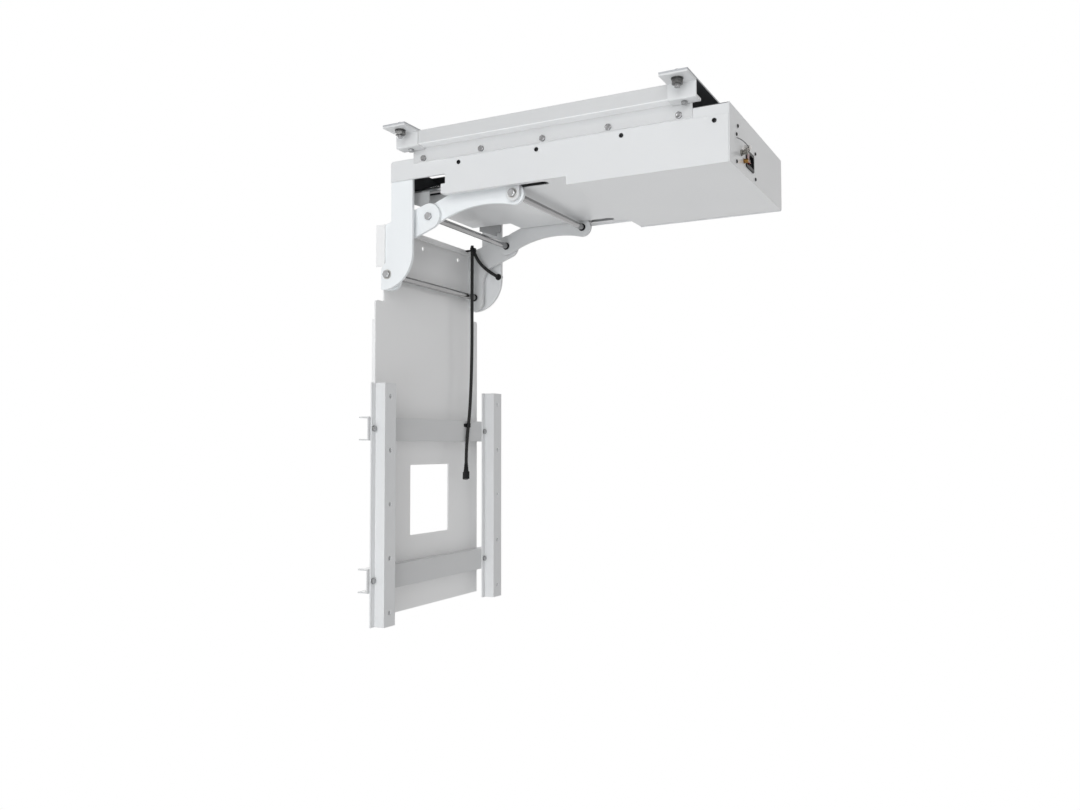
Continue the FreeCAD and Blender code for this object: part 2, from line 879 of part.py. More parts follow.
add_pad(body, "XZ", [(-half, -d.deep_drop), (half, -d.deep_drop), (half, face_top),
                     (-half, face_top)], d.sheet_thk, -inner_front,
        circles=port_holes + jack_holes + [spare_screw + (port_hole,)], windows=[window])
add_pad(body, "XY", [(-half, front_y), (half, front_y), (half, step_y), (-half, step_y)],
        d.sheet_thk, -d.deep_drop)
add_pad(body, "XZ", [(-half, -d.deep_drop), (half, -d.deep_drop), (half, riser_top),
                     (-half, riser_top)], d.sheet_thk, -step_y)
for side, sign in SIDES:
    low = start_x(sign, half, d.sheet_thk)
    high = low + d.sheet_thk
    add_pad(body, "XY", [(low, front_y), (high, front_y), (high, step_y), (low, step_y)],
            d.tray_lip, -d.deep_drop)
keep(body)

# Connector plate behind the end face, held by four screws at its corners
body = start_body("connector_plate")
plate_x = d.port_pitch_x / 2 + d.port_plate_edge
plate_z = d.port_pitch_z / 2 + d.port_plate_edge
add_pad(body, "XZ", [(-d.port_x - plate_x, -d.port_drop - plate_z),
                     (-d.port_x + plate_x, -d.port_drop - plate_z),
                     (-d.port_x + plate_x, -d.port_drop + plate_z),
                     (-d.port_x - plate_x, -d.port_drop + plate_z)],
        d.port_plate_thk, -(inner_front + d.port_plate_thk),
        circles=port_holes + jack_holes, windows=[window])
keep(body)
port_bolts = []
for i, (x, z) in enumerate(port_screws + [spare_screw]):
    port_bolts.append(fuse("port_screw%d" % i, [
        cylinder("port_head%d" % i, d.port_head_dia / 2, d.port_head_height, x, front_y, z, -Y),
        cylinder("port_shank%d" % i, d.port_screw_dia / 2, d.port_screw_len, x,
                 front_y + d.port_screw_len, z, -Y)]))
keep(group("port_screws", port_bolts))

# Power inlet with its recess and three blades, and the rocker switch beside it
inlet_face = front_y - d.inlet_flange_thk
flange = box("inlet_flange", inlet_low_x, inlet_face, inlet_low_z, d.inlet_width,
             d.inlet_flange_thk, d.inlet_height)
casing = box("inlet_casing", inlet_low_x + d.inlet_step, front_y, inlet_low_z + d.inlet_step,
             d.inlet_width - d.inlet_step * 2, d.inlet_depth, d.inlet_height - d.inlet_step * 2)
socket_x, socket_z = inlet_high_x - d.socket_in, -d.inlet_drop
switch_x = inlet_low_x + d.switch_in
hollow = box("inlet_hollow", socket_x - d.socket_width / 2, inlet_face - d.cut_over,
             socket_z - d.socket_height / 2, d.socket_width, d.socket_depth + d.cut_over,
             d.socket_height)
slot = box("switch_slot", switch_x - d.switch_width / 2, inlet_face - d.cut_over,
           socket_z - d.switch_height / 2, d.switch_width, d.switch_depth + d.cut_over,
           d.switch_height)
shell = cut("inlet_shell", fuse("inlet_block", [flange, casing]), [hollow, slot])
blades = []
for i, (dx, dz) in enumerate(((-d.blade_apart, d.blade_up), (d.blade_apart, d.blade_up),
                              (Size.of(0), -d.blade_down))):
    blades.append(box("blade%d" % i, socket_x + dx - d.blade_thk / 2, inlet_face + d.blade_back,
                      socket_z + dz - d.blade_height / 2, d.blade_thk, d.blade_len,
                      d.blade_height))
keep(fuse("power_inlet", [shell] + blades))

# Rocker on its axle, tipped to its first position; side view as y and z about the axle
ROCKER_OUTLINE = [(-9, -9), (-7.2, 0), (-9, 9), (-1, 8.2), (3, 3), (3, -3), (-1, -8.2)]
rocker_y = front_y + d.rocker_back
body = start_body("rocker_paddle")
add_pad(body, "YZ", ROCKER_OUTLINE, d.rocker_width, -d.rocker_width / 2)
place(body, switch_x, rocker_y, socket_z, Rotation(X, -d.rocker_tilt.value))
keep(fuse("rocker_switch", [body, cylinder("rocker_axle", d.rocker_axle_dia / 2,
                                           d.rocker_axle_len, switch_x - d.rocker_axle_len / 2,
                                           rocker_y, socket_z, X)]))

# Threaded jacks beside the inlet
jacks = []
for tag, (x, z) in (("coax", coax_spot), ("aerial", aerial_spot)):
    stem = cylinder(tag + "_stem", d.jack_dia / 2, d.jack_len + d.jack_behind, x,
                    front_y + d.jack_behind, z, -Y)
    collar = hexagon(tag + "_nut", d.jack_across, d.jack_nut_thk, x, front_y, z, -Y)
    bore = cylinder(tag + "_bore", d.jack_bore_dia / 2, d.jack_bore_depth + d.cut_over, x,
                    front_y - d.jack_len + d.jack_bore_depth, z, -Y)
    jacks.append(cut(tag + "_jack", fuse(tag + "_body", [stem, collar]), [bore]))
x, z = signal_spot
ring = fuse("signal_body", [
    cylinder("signal_stem", d.signal_dia / 2, d.signal_len + d.jack_behind, x,
             front_y + d.jack_behind, z, -Y),
    cylinder("signal_collar", d.signal_collar_dia / 2, d.signal_collar_thk, x, front_y, z, -Y)])
bore = cylinder("signal_bore", d.signal_bore_dia / 2, d.signal_bore_depth + d.cut_over, x,
                front_y - d.signal_len + d.signal_bore_depth, z, -Y)
jacks.append(cut("signal_jack", ring, [bore]))
keep(group("antenna_jacks", jacks))

# Cross plates between the frame sides carry the guide rods and the actuator
rod_z = -d.rod_drop
rod_hole = d.rod_dia / 2 + d.run_gap
ear = d.block_width / 2
ear_low = rod_z - d.rod_dia / 2 - d.cross_ear
cross_top = side_top - d.side_flange_thk
rod_holes = [(-rod_half, rod_z, rod_hole), (rod_half, rod_z, rod_hole)]
body = start_body("rear_crossmember")
right = [(drop_inner, tab_top), (drop_inner, cross_low), (rod_half + ear, cross_low),
         (rod_half + ear, ear_low), (rod_half - ear, ear_low), (rod_half - ear, cross_low)]
left = [(-x, z) for x, z in reversed(right)]
cross_front = d.frame_rear - d.cross_thk - d.cross_behind
add_pad(body, "XZ", right + left, d.cross_thk, -(cross_front + d.cross_thk), circles=rod_holes)
keep(body)
body = start_body("middle_crossmember")
middle_low = -d.tray_drop + d.middle_above
add_pad(body, "XZ", [(-inner, middle_low), (inner, middle_low), (inner, cross_top),
                     (-inner, cross_top)], d.cross_thk, d.rod_front - d.cross_thk,
        circles=rod_holes + [(0, rod_z, d.tube_dia / 2 + d.bolt_hole_gap)])
keep(body)
body = start_body("front_crossmember")
mount_y = front_y + d.mount_ahead
floor_z = -d.deep_drop + d.sheet_thk
add_pad(body, "XZ", [(-inner, floor_z), (inner, floor_z), (inner, cross_top),
                     (-inner, cross_top)], d.cross_thk, -(mount_y + d.cross_thk))
keep(body)

# Two ground guide rods
rods = []
for side, sign in SIDES:
    rods.append(cylinder("rod_" + side, d.rod_dia / 2, d.rod_front + cross_front + d.cross_thk,
                         rod_half * sign, -d.rod_front, rod_z, Y))
keep(group("guide_rods", rods))

# Carriage: plate, four bearing blocks and two lugs that reach down through the slots
carriage_low = -d.plate_drop
carriage_top = carriage_low + d.plate_thk
plate_front, plate_rear = d.carriage_y - d.carriage_len / 2, d.carriage_y + d.carriage_len / 2
lug_inner = lug_outer - d.lug_thk
body = start_body("carriage_plate")
add_pad(body, "XY", [(-lug_inner, plate_front), (lug_inner, plate_front),
                     (lug_inner, plate_rear), (-lug_inner, plate_rear)], d.plate_thk, carriage_low)
keep(body)
blocks = []
for side, sign in SIDES:
    for tag, y in (("front", plate_front), ("rear", plate_rear - d.block_len)):
        name = "block_%s_%s" % (side, tag)
        block = box(name + "_body", rod_half * sign - d.block_width / 2, y,
                    carriage_low - d.block_height, d.block_width, d.block_len, d.block_height)
        bore = cylinder(name + "_bore", rod_hole, d.block_len + d.cut_over * 2,
                        rod_half * sign, y - d.cut_over, rod_z, Y)
        blocks.append(cut(name, block, [bore]))
keep(group("bearing_blocks", blocks))

pivot_z = -d.carriage_drop
bush_out = d.shoulder_dia / 2 + d.run_gap + d.bush_wall
bush_hole = bush_out + d.seat_gap
lugs = []
for side, sign in SIDES:
    body = start_body("carriage_lug_%s" % side)
    r = d.lug_round
    lug_front, lug_rear = d.carriage_y - r, d.carriage_y + r
    lug_neck_z = carriage_low - d.lug_shoulder
    outline = [(plate_front, carriage_top), (plate_front, lug_neck_z), (lug_front, pivot_z + r),
               (lug_front, pivot_z - r), (lug_rear, pivot_z - r), (lug_rear, pivot_z + r),
               (plate_rear, lug_neck_z), (plate_rear, carriage_top)]
    add_pad(body, "YZ", outline, d.lug_thk, start_x(sign, lug_outer, d.lug_thk),
            circles=[(d.carriage_y, pivot_z, bush_hole)])
    add_rounds(body, "YZ", [(lug_front, pivot_z - r), (lug_rear, pivot_z - r)], r - d.round_rest)
    lugs.append(body)
keep(group("carriage_lugs", lugs))


def flanged_bush(name, outer, thk, sign, y, z):
    """A bush through a plate, its thin flange on the plate's outer face."""
    away = Vector(sign, 0, 0)
    solid = fuse(name + "_body", [
        cylinder(name + "_sleeve", bush_out, thk, (outer - thk) * sign, y, z, away),
        cylinder(name + "_flange", d.bush_flange_dia / 2, d.bush_flange, outer * sign, y, z, away)])
    bore = cylinder(name + "_bore", d.shoulder_dia / 2 + d.run_gap, thk + d.cut_over * 2,
                    (outer - thk - d.cut_over) * sign, y, z, away)
    return cut(name, solid, [bore])


def shoulder_bolt(name, seat, shoulder_end, tip, sign, y, z):
    """Hex head outside the bush, ground shoulder through it, thread into the shaft's end."""
    away = Vector(sign, 0, 0)
    return fuse(name, [
        hexagon(name + "_head", d.head_across, d.head_height, seat * sign, y, z, away),
        cylinder(name + "_shoulder", d.shoulder_dia / 2, seat - shoulder_end,
                 shoulder_end * sign, y, z, away),
        cylinder(name + "_thread", d.thread_dia / 2, shoulder_end - tip, tip * sign, y, z, away)])


def cross_shaft(label, half_len, y, z):
    """A round shaft with a tapped bore in each end."""
    shaft = cylinder(label + "_bar", d.shaft_dia / 2, half_len * 2, -half_len, y, z, X)
    bores = [cylinder("%s_bore_%s" % (label, side), d.thread_dia / 2 + d.thread_gap,
                      d.tapped_depth + d.cut_over, (half_len - d.tapped_depth) * sign, y, z,
                      Vector(sign, 0, 0)) for side, sign in SIDES]
    return cut(label, shaft, bores)


def thrust_ring(name, low, high, sign, y, z):
    """A plain washer on a shoulder, from low to high across the gap."""
    away = Vector(sign, 0, 0)
    disc = cylinder(name + "_disc", d.thrust_dia / 2, high - low, low * sign, y, z, away)
    bore = cylinder(name + "_hole", d.shoulder_dia / 2 + d.thread_gap, d.cut_len,
                    (low - d.cut_over) * sign, y, z, away)
    return cut(name, disc, [bore])


keep(group("carriage_bushes", [flanged_bush("lug_bush_" + side, lug_outer, d.lug_thk, sign,
                                            d.carriage_y, pivot_z) for side, sign in SIDES]))

# Shaft between the arms at the carriage, with its bolts and thrust washers
arm_inner = arm_outer - d.arm_thk
keep(cross_shaft("carriage_shaft", arm_inner, d.carriage_y, pivot_z))
head_seat = lug_outer + d.bush_flange + d.end_gap
keep(group("carriage_bolts", [shoulder_bolt("carriage_bolt_" + side, head_seat, arm_outer,
                                            arm_inner - d.thread_len, sign, d.carriage_y, pivot_z)
                              for side, sign in SIDES]))
keep(group("carriage_washers", [thrust_ring("carriage_washer_" + side, arm_outer,
                                            lug_inner - d.end_gap, sign, d.carriage_y, pivot_z)
                                for side, sign in SIDES]))

# Curved arms: one steady width about an arc through both pivots
hip_z = -d.hip_drop
knuckle_y = d.hip_y - d.knuckle_ahead
knuckle_z = hip_z + d.knuckle_above


def arm_sketch(sketch):
    """Two long arcs and two round ends, all tangent, held by the pivots and the curve."""
    c = Vector(d.carriage_y.value, pivot_z.value, 0)
    k = Vector(knuckle_y.value, knuckle_z.value, 0)
    wide, far = d.arm_half.value, d.arm_curve.value
    chord = k - c
    down = Vector(chord.y, -chord.x, 0).normalize()
    centre = (c + k) * 0.5 + down * math.sqrt(far ** 2 - (chord.Length / 2) ** 2)
    up = Vector(0, 0, 1)
    angle_c = math.atan2(c.y - centre.y, c.x - centre.x)
    angle_k = math.atan2(k.y - centre.y, k.x - centre.x)
    arcs = [Part.ArcOfCircle(Part.Circle(centre, up, far + wide), angle_k, angle_c),
            Part.ArcOfCircle(Part.Circle(c, up, wide), angle_c, angle_c + math.pi),
            Part.ArcOfCircle(Part.Circle(centre, up, far - wide), angle_k, angle_c),
            Part.ArcOfCircle(Part.Circle(k, up, wide), angle_k - math.pi, angle_k)]
    for arc in arcs:
        sketch.addGeometry(arc, False)
    add = sketch.addConstraint
    add(Sketcher.Constraint("Tangent", 0, 2, 1, 1))
    add(Sketcher.Constraint("Tangent", 1, 2, 2, 2))
    add(Sketcher.Constraint("Tangent", 2, 1, 3, 1))
    add(Sketcher.Constraint("Tangent", 3, 2, 0, 1))
    add(Sketcher.Constraint("Coincident", 0, 3, 2, 3))
    fix_point(sketch, 1, 3, d.carriage_y, pivot_z)
    fix_point(sketch, 3, 3, knuckle_y, knuckle_z)
    held = add(Sketcher.Constraint("Radius", 1, wide))
    sketch.setExpression("Constraints[%d]" % held, d.arm_half.text)
    held = add(Sketcher.Constraint("Radius", 0, far + wide))
    sketch.setExpression("Constraints[%d]" % held, (d.arm_curve + d.arm_half).text)


bolt_bore = d.thread_dia / 2 + d.thread_gap
spigot = d.shoulder_dia / 2
for side, sign in SIDES:
    body = start_body("arm_%s" % side)
    sketch = new_sketch(body, "arm_%s_sketch" % side, "YZ", start_x(sign, arm_outer, d.arm_thk))
    arm_sketch(sketch)
    draw_circle(sketch, d.carriage_y, pivot_z, bolt_bore)
    draw_circle(sketch, knuckle_y, knuckle_z, spigot + d.thread_gap)
    pad = body.newObject("PartDesign::Pad", "arm_%s_pad" % side)
    pad.Profile = sketch
    pad.Length = d.arm_thk.value
    bind(pad, "Length", d.arm_thk)
    sketch.Visibility = False
    doc.recompute()
    keep(body)

# Shaft between the arms at the knuckle, turned down to a spigot at each end
spigot_end = arm_outer - d.part_gap
keep(fuse("knuckle_shaft", [
    cylinder("knuckle_bar", d.shaft_dia / 2, arm_inner * 2, -arm_inner, knuckle_y, knuckle_z, X),
    cylinder("knuckle_spigots", spigot, spigot_end * 2, -spigot_end, knuckle_y, knuckle_z, X)]))

# Drop plates: straight front edge that swings into a wide curve under the hip, hooked rear
hip_bushes = []
grommet_y, grommet_z = d.drop_front + d.grommet_back, -d.grommet_drop
bottom = hip_z - d.drop_bottom
hook = d.hip_y + d.drop_hook
neck_low, neck_high = hip_z + d.drop_neck_low, hip_z + d.drop_neck_high
for side, sign in SIDES:
    body = start_body("drop_plate_%s" % side)
    outline = [(d.drop_front, tab_top), (d.drop_front, bottom), (hook, bottom),
               (hook, neck_low), (d.drop_rear, neck_high), (d.drop_rear, tab_top)]
    circles = [(d.hip_y, hip_z, bush_hole)]
    if sign > 0:
        circles.append((grommet_y, grommet_z, d.grommet_dia / 2 + d.seat_gap))
    add_pad(body, "YZ", outline, d.drop_thk, start_x(sign, inner, d.drop_thk), circles=circles)
    add_rounds(body, "YZ", [(d.drop_front, bottom)], d.drop_round)
    add_rounds(body, "YZ", [(hook, bottom)], d.drop_hook_round)
    add_rounds(body, "YZ", [(hook, neck_low), (d.drop_rear, neck_high)], d.drop_neck_round)
    keep(body)
    hip_bushes.append(flanged_bush("hip_bush_" + side, inner, d.drop_thk, sign, d.hip_y, hip_z))
keep(group("hip_bushes", hip_bushes))

# Claw plates: boomerangs from the knuckle round to the hip, butted on the column's web
claw_inner = claw_outer - d.claw_thk
web_front = d.hip_y + d.web_behind
column_top = hip_z + d.web_top
lean = math.cos(math.radians(d.claw_lean.value))
rise = math.sin(math.radians(d.claw_lean.value))
r = d.claw_round
upper = (knuckle_y + r * (rise - lean), knuckle_z + r * (lean + rise))
lower = (knuckle_y - r * (rise + lean), knuckle_z + r * (rise - lean))
toe_front = d.hip_y - d.claw_toe_ahead
toe_low = bottom + d.claw_toe_rise
bend = (toe_front, lower[1] - (toe_front - lower[0]) * (rise / lean))
knuckle_bolts = []
for side, sign in SIDES:
    body = start_body("claw_%s" % side)
    outline = [upper, lower, bend, (toe_front, toe_low), (web_front, toe_low),
               (web_front, column_top)]
    add_pad(body, "YZ", outline, d.claw_thk, start_x(sign, claw_outer, d.claw_thk),
            circles=[(d.hip_y, hip_z, bolt_bore), (knuckle_y, knuckle_z, bolt_bore)])
    add_rounds(body, "YZ", [upper, lower], r - d.round_rest)
    add_rounds(body, "YZ", [bend], d.claw_bend_round)
    add_rounds(body, "YZ", [(toe_front, toe_low)], d.claw_toe_round)
    add_rounds(body, "YZ", [(web_front, toe_low)], d.claw_heel_round)
    keep(body)
    away = Vector(sign, 0, 0)
    knuckle_bolts.append(fuse("knuckle_bolt_" + side, [
        hexagon("knuckle_head_" + side, d.head_across, d.head_height, claw_outer * sign,
                knuckle_y, knuckle_z, away),
        cylinder("knuckle_shank_" + side, d.thread_dia / 2, d.claw_thk - d.part_gap,
                 (claw_inner + d.part_gap) * sign, knuckle_y, knuckle_z, away)]))
keep(group("knuckle_bolts", knuckle_bolts))

# Hip shaft between the claws, its bolts in the drop plates' bushes, and spacers
hip_seat = inner + d.bush_flange + d.end_gap
keep(cross_shaft("hip_shaft", claw_inner, d.hip_y, hip_z))
keep(group("hip_bolts", [shoulder_bolt("hip_bolt_" + side, hip_seat, claw_outer,
                                       claw_inner - d.thread_len, sign, d.hip_y, hip_z)
                         for side, sign in SIDES]))
keep(group("hip_spacers", [thrust_ring("hip_spacer_" + side, claw_outer,
                                       drop_inner - d.end_gap, sign, d.hip_y, hip_z)
                           for side, sign in SIDES]))

# Column: folded web with a hem at its top, side flanges, and shoulders below the hip
web_rear = web_front + d.web_thk
shoulder_z = hip_z - d.shoulder_below
column_low = -d.column_bottom
hem_front = web_front - d.hem_depth
hem_half = claw_inner - d.hem_inset
vesa_z = -d.vesa_drop
pilot_z = column_top - d.pilot_drop
pilot = d.pilot_dia / 2
w = d.window_half
body = start_body("column")
right = [(shoulder_half, column_low), (shoulder_half, shoulder_z), (web_half, shoulder_z),
         (web_half, column_top)]
left = [(-x, z) for x, z in reversed(right)]
add_pad(body, "XZ", right + left, d.web_thk, -web_rear,
        circles=[(-d.pilot_left, pilot_z, pilot), (d.pilot_right, pilot_z, pilot)],
        windows=[[(-w, vesa_z - w), (w, vesa_z - w), (w, vesa_z + w), (-w, vesa_z + w)]])
add_rounds(body, "XZ", [(shoulder_half, shoulder_z), (-shoulder_half, shoulder_z)],
           d.shoulder_round)
hem_low, hem_back = column_top - d.hem_drop, hem_front + d.web_thk
add_pad(body, "YZ", [(hem_front, hem_low), (hem_back, hem_low),
                     (hem_back, column_top - d.web_thk), (web_front, column_top - d.web_thk),
                     (web_front, column_top), (hem_front, column_top)], hem_half * 2, -hem_half)
flange_low_z = hip_z + d.flange_low
low_flange_z = shoulder_z - d.low_flange_below
for side, sign in SIDES:
    for outer, depth, start, end in (
            (web_half, d.flange_depth, flange_low_z, column_top),
            (shoulder_half, d.low_flange_depth, column_low, low_flange_z)):
        low = start_x(sign, outer, d.web_thk)
        high = low + d.web_thk
        add_pad(body, "XY", [(low, web_front), (high, web_front), (high, web_front + depth),
                             (low, web_front + depth)], end - start, start)
keep(body)

# Two channel cross rails on the column
cross_rows = [vesa_z + d.cross_pitch / 2, vesa_z - d.cross_pitch / 2]
cross_front_y = web_front - d.cross_depth
fold = d.fold_thk
half_w = d.upright_width / 2
upright_x = d.vesa_pitch / 2
foot_x = half_w + d.foot_width / 2
feet = [(side, upright_x * sign + foot_x * k, row, z) for side, sign in SIDES for k in (-1, 1)
        for row, z in zip(("upper", "lower"), cross_rows)]
cross_rails = []
for row, z in zip(("upper", "lower"), cross_rows):
    body = start_body("cross_rail_%s_fold" % row)
    low, high = z - d.cross_height / 2, z + d.cross_height / 2
    add_pad(body, "YZ", [(cross_front_y, low), (web_front, low), (web_front, low + fold),
                         (cross_front_y + fold, low + fold), (cross_front_y + fold, high - fold),
                         (web_front, high - fold), (web_front, high), (cross_front_y, high)],
            d.cross_half * 2, -d.cross_half)
    holes = [cylinder("cross_%s_hole%d" % (row, i), bolt_hole, d.cut_len, x,
                      cross_front_y - d.cut_over, z, Y)
             for i, (_, x, foot_row, _) in enumerate(feet) if foot_row == row]
    cross_rails.append(cut("cross_rail_%s" % row, body, holes))
keep(group("cross_rails", cross_rails))

# Two hat-section uprights on the cross rails, with the fixing holes in their front faces
upright_front = cross_front_y - d.upright_depth
upright_low = vesa_z - d.upright_len / 2
feet_half = half_w + d.foot_width
foot_front = cross_front_y - fold
uprights = []
for side, sign in SIDES:
    body = start_body("upright_%s_fold" % side)
    x = upright_x * sign
    outline = [(x - feet_half, foot_front), (x - half_w, foot_front), (x - half_w, upright_front),
               (x + half_w, upright_front), (x + half_w, foot_front), (x + feet_half, foot_front),
               (x + feet_half, cross_front_y), (x + half_w - fold, cross_front_y),
               (x + half_w - fold, upright_front + fold),
               (x - half_w + fold, upright_front + fold), (x - half_w + fold, cross_front_y),
               (x - feet_half, cross_front_y)]
    add_pad(body, "XY", outline, d.upright_len, upright_low)
    holes = [cylinder("upright_%s_hole%d" % (side, i), d.vesa_hole_dia / 2, d.cut_len, x,
                      upright_front - d.cut_over, vesa_z + d.vesa_pitch * (i - 2) / 4, Y)
             for i in range(5)]
    holes += [cylinder("foot_%s_hole%d" % (side, i), bolt_hole, d.cut_len, foot,
                       cross_front_y - d.cut_over, z, Y)
              for i, (foot_side, foot, _, z) in enumerate(feet) if foot_side == side]
    uprights.append(cut("upright_%s" % side, body, holes))
keep(group("uprights", uprights))
foot_bolts = []
for i, (_, x, _, z) in enumerate(feet):
    foot_bolts.append(fuse("foot_bolt%d" % i, [
        hexagon("foot_head%d" % i, d.rail_bolt_across, d.rail_head_height, x, foot_front, z, -Y),
        cylinder("foot_shank%d" % i, d.rail_bolt_dia / 2, d.foot_bolt_len, x,
                 foot_front + d.foot_bolt_len, z, -Y),
        hexagon("foot_nut%d" % i, d.rail_bolt_across, d.rail_nut_height, x, cross_front_y + fold,
                z, Y)]))
keep(group("upright_bolts", foot_bolts))

# Linear actuator: gearbox on a pinned bracket, motor beside the tube
tube_y = d.tube_end - d.tube_rear_len
gear_y = tube_y - d.gear_len
bracket_y = mount_y + d.cross_thk
eye_y = bracket_y + d.eye_ahead
pin_hole = d.pin_dia / 2 + d.run_gap
pin_cut = -d.cut_len / 2
gear_low, gear_high = rod_z - d.gear_half_height, rod_z + d.gear_half_height
gear_right = d.motor_aside + d.gear_half
gear_corners = [(-d.gear_half, gear_low), (gear_right, gear_low), (gear_right, gear_high),
                (-d.gear_half, gear_high)]
body = start_body("gearbox_block")
add_pad(body, "XZ", gear_corners, d.gear_len, -tube_y)
add_rounds(body, "XZ", gear_corners, d.gear_round)
tail = box("gearbox_tail", -d.tail_width / 2, eye_y, rod_z - d.tail_height / 2, d.tail_width,
           gear_y - eye_y, d.tail_height)
tail_end = cylinder("gearbox_tail_end", d.tail_height / 2, d.tail_width, -d.tail_width / 2, eye_y,
                    rod_z, X)
keep(cut("actuator_gearbox", fuse("gearbox_body", [body, tail, tail_end]),
         [cylinder("gearbox_pin_hole", pin_hole, d.cut_len, pin_cut, eye_y, rod_z, X)]))
keep(cylinder("actuator_motor", d.motor_dia / 2, d.motor_len, d.motor_aside, tube_y, rod_z, Y))
tube = cylinder("tube_outside", d.tube_dia / 2, d.tube_rear_len, 0, tube_y, rod_z, Y)
keep(cut("actuator_tube", tube, [
    cylinder("tube_bore", d.tube_dia / 2 - d.tube_wall,
             d.tube_rear_len - d.tube_floor - d.tube_nose + d.end_gap, 0, tube_y + d.tube_floor,
             rod_z, Y),
    cylinder("tube_mouth", d.ram_dia / 2 + d.run_gap, d.tube_nose + d.cut_over, 0,
             d.tube_end - d.tube_nose, rod_z, Y)]))
ears = [box("mount_ear_" + side, start_x(sign, d.mount_ear_out, d.mount_ear_thk), bracket_y,
            rod_z - d.mount_ear_height / 2, d.mount_ear_thk, d.mount_ear_len, d.mount_ear_height)
        for side, sign in SIDES]
ears.append(box("mount_base", -d.mount_base_width / 2, bracket_y, rod_z - d.mount_ear_height / 2,
                d.mount_base_width, d.mount_ear_thk, d.mount_ear_height))
keep(cut("actuator_bracket", fuse("mount_plates", ears),
         [cylinder("mount_hole", pin_hole, d.cut_len, pin_cut, eye_y, rod_z, X)]))
keep(cylinder("actuator_pin", d.pin_dia / 2, d.mount_pin_len, -d.mount_pin_len / 2, eye_y, rod_z,
              X))

# Ram out of the tube, pinned between two ears under the carriage plate
bar_end = d.ram_eye_y - d.ram_neck_len / 2
ear_y = plate_front + d.ram_ear_back
ram = fuse("ram_body", [
    cylinder("ram_bar", d.ram_dia / 2, d.ram_len, 0, bar_end - d.ram_len, rod_z, Y),
    box("ram_neck", -d.ram_eye_width / 2, d.ram_eye_y - d.ram_neck_len,
        rod_z - d.ram_neck_height / 2, d.ram_eye_width, d.ram_neck_len, d.ram_neck_height),
    cylinder("ram_eye", d.ram_eye_dia / 2, d.ram_eye_width, -d.ram_eye_width / 2, d.ram_eye_y,
             rod_z, X)])
keep(cut("actuator_ram", ram,
         [cylinder("ram_hole", pin_hole, d.cut_len, pin_cut, d.ram_eye_y, rod_z, X)]))
ears = [box("ram_ear_" + side, start_x(sign, d.ram_ear_out, d.ram_ear_thk), ear_y,
            rod_z - d.ram_ear_below, d.ram_ear_thk, d.ram_ear_len,
            carriage_low - rod_z + d.ram_ear_below) for side, sign in SIDES]
ears.append(box("ram_seat", -d.ram_ear_out, ear_y, carriage_low - d.ram_ear_thk,
                d.ram_ear_out * 2, d.ram_ear_len, d.ram_ear_thk))
keep(cut("ram_bracket", fuse("ram_plates", ears),
         [cylinder("ram_ear_hole", pin_hole, d.cut_len, pin_cut, d.ram_eye_y, rod_z, X)]))
keep(cylinder("ram_pin", d.pin_dia / 2, d.ram_pin_len, -d.ram_pin_len / 2, d.ram_eye_y, rod_z, X))

# Power supply on the pan's floor
inside_y = mount_y + d.tray_space
keep(box("power_supply", -tray_side, inside_y, floor_z, d.supply_width, d.supply_len,
         d.supply_height))

# Control board on four standoffs; its parts as x and y from the board's corner, then their sizes
BOARD_PARTS = ((8, 18, 20, 22, 16), (36, 18, 24, 16, 12), (10, 50, 16, 30, 20),
               (36, 48, 26, 40, 6))
board_z = floor_z + d.board_lift
board_inner = tray_side - d.board_width
parts = [box("board_sheet", board_inner, inside_y, board_z, d.board_width, d.board_len,
             d.board_thk)]
for i, (x, y) in enumerate((x, y) for x in (d.board_edge, d.board_width - d.board_edge)
                           for y in (d.board_edge, d.board_len - d.board_edge)):
    parts.append(cylinder("standoff%d" % i, d.standoff_dia / 2, d.board_lift, board_inner + x,
                          inside_y + y, floor_z, Z))
for i, (x, y, dx, dy, dz) in enumerate(BOARD_PARTS):
    parts.append(box("chip%d" % i, board_inner + x, inside_y + y, board_z + d.board_thk, dx, dy,
                     dz))
keep(fuse("control_board", parts))


def cord_path(points):
    """Straight runs joined by tangent arcs, each as large as its two runs allow."""
    edges, radii = [], []
    start = points[0]
    for i in range(1, len(points) - 1):
        before, here, after = points[i - 1], points[i], points[i + 1]
        back, ahead = (before - here), (after - here)
        turn = math.pi - back.getAngle(ahead)
        shorter = min(back.Length, ahead.Length)
        reach = 0.45 * shorter
        radii.append(reach / math.tan(turn / 2))
        back, ahead = Vector(back).normalize(), Vector(ahead).normalize()
        enter, leave = here + back * reach, here + ahead * reach
        inward = (back + ahead).normalize()
        depth = radii[-1] / math.cos(turn / 2) - radii[-1]
        edges.append(Part.LineSegment(start, enter).toShape())
        edges.append(Part.Arc(enter, here + inward * depth, leave).toShape())
        start = leave
    edges.append(Part.LineSegment(start, points[-1]).toShape())
    return Part.Wire(edges), radii


def cord(label, points, diameter):
    """A round cord swept along its route."""
    wire, radii = cord_path(points)
    along = (points[1] - points[0]).normalize()
    ring = Part.Wire([Part.makeCircle(diameter / 2, points[0], along)])
    solid = wire.makePipeShell([ring], True, True)
    feature = doc.addObject("Part::Feature", label)
    feature.Label = label
    feature.Shape = solid
    wanted = math.pi * (diameter / 2) ** 2 * wire.Length
    print("%s: length %.0f mm, radii %s, volume %.4f of section times length"
          % (label, wire.Length, ", ".join("%.0f" % r for r in radii), solid.Volume / wanted))
    return feature


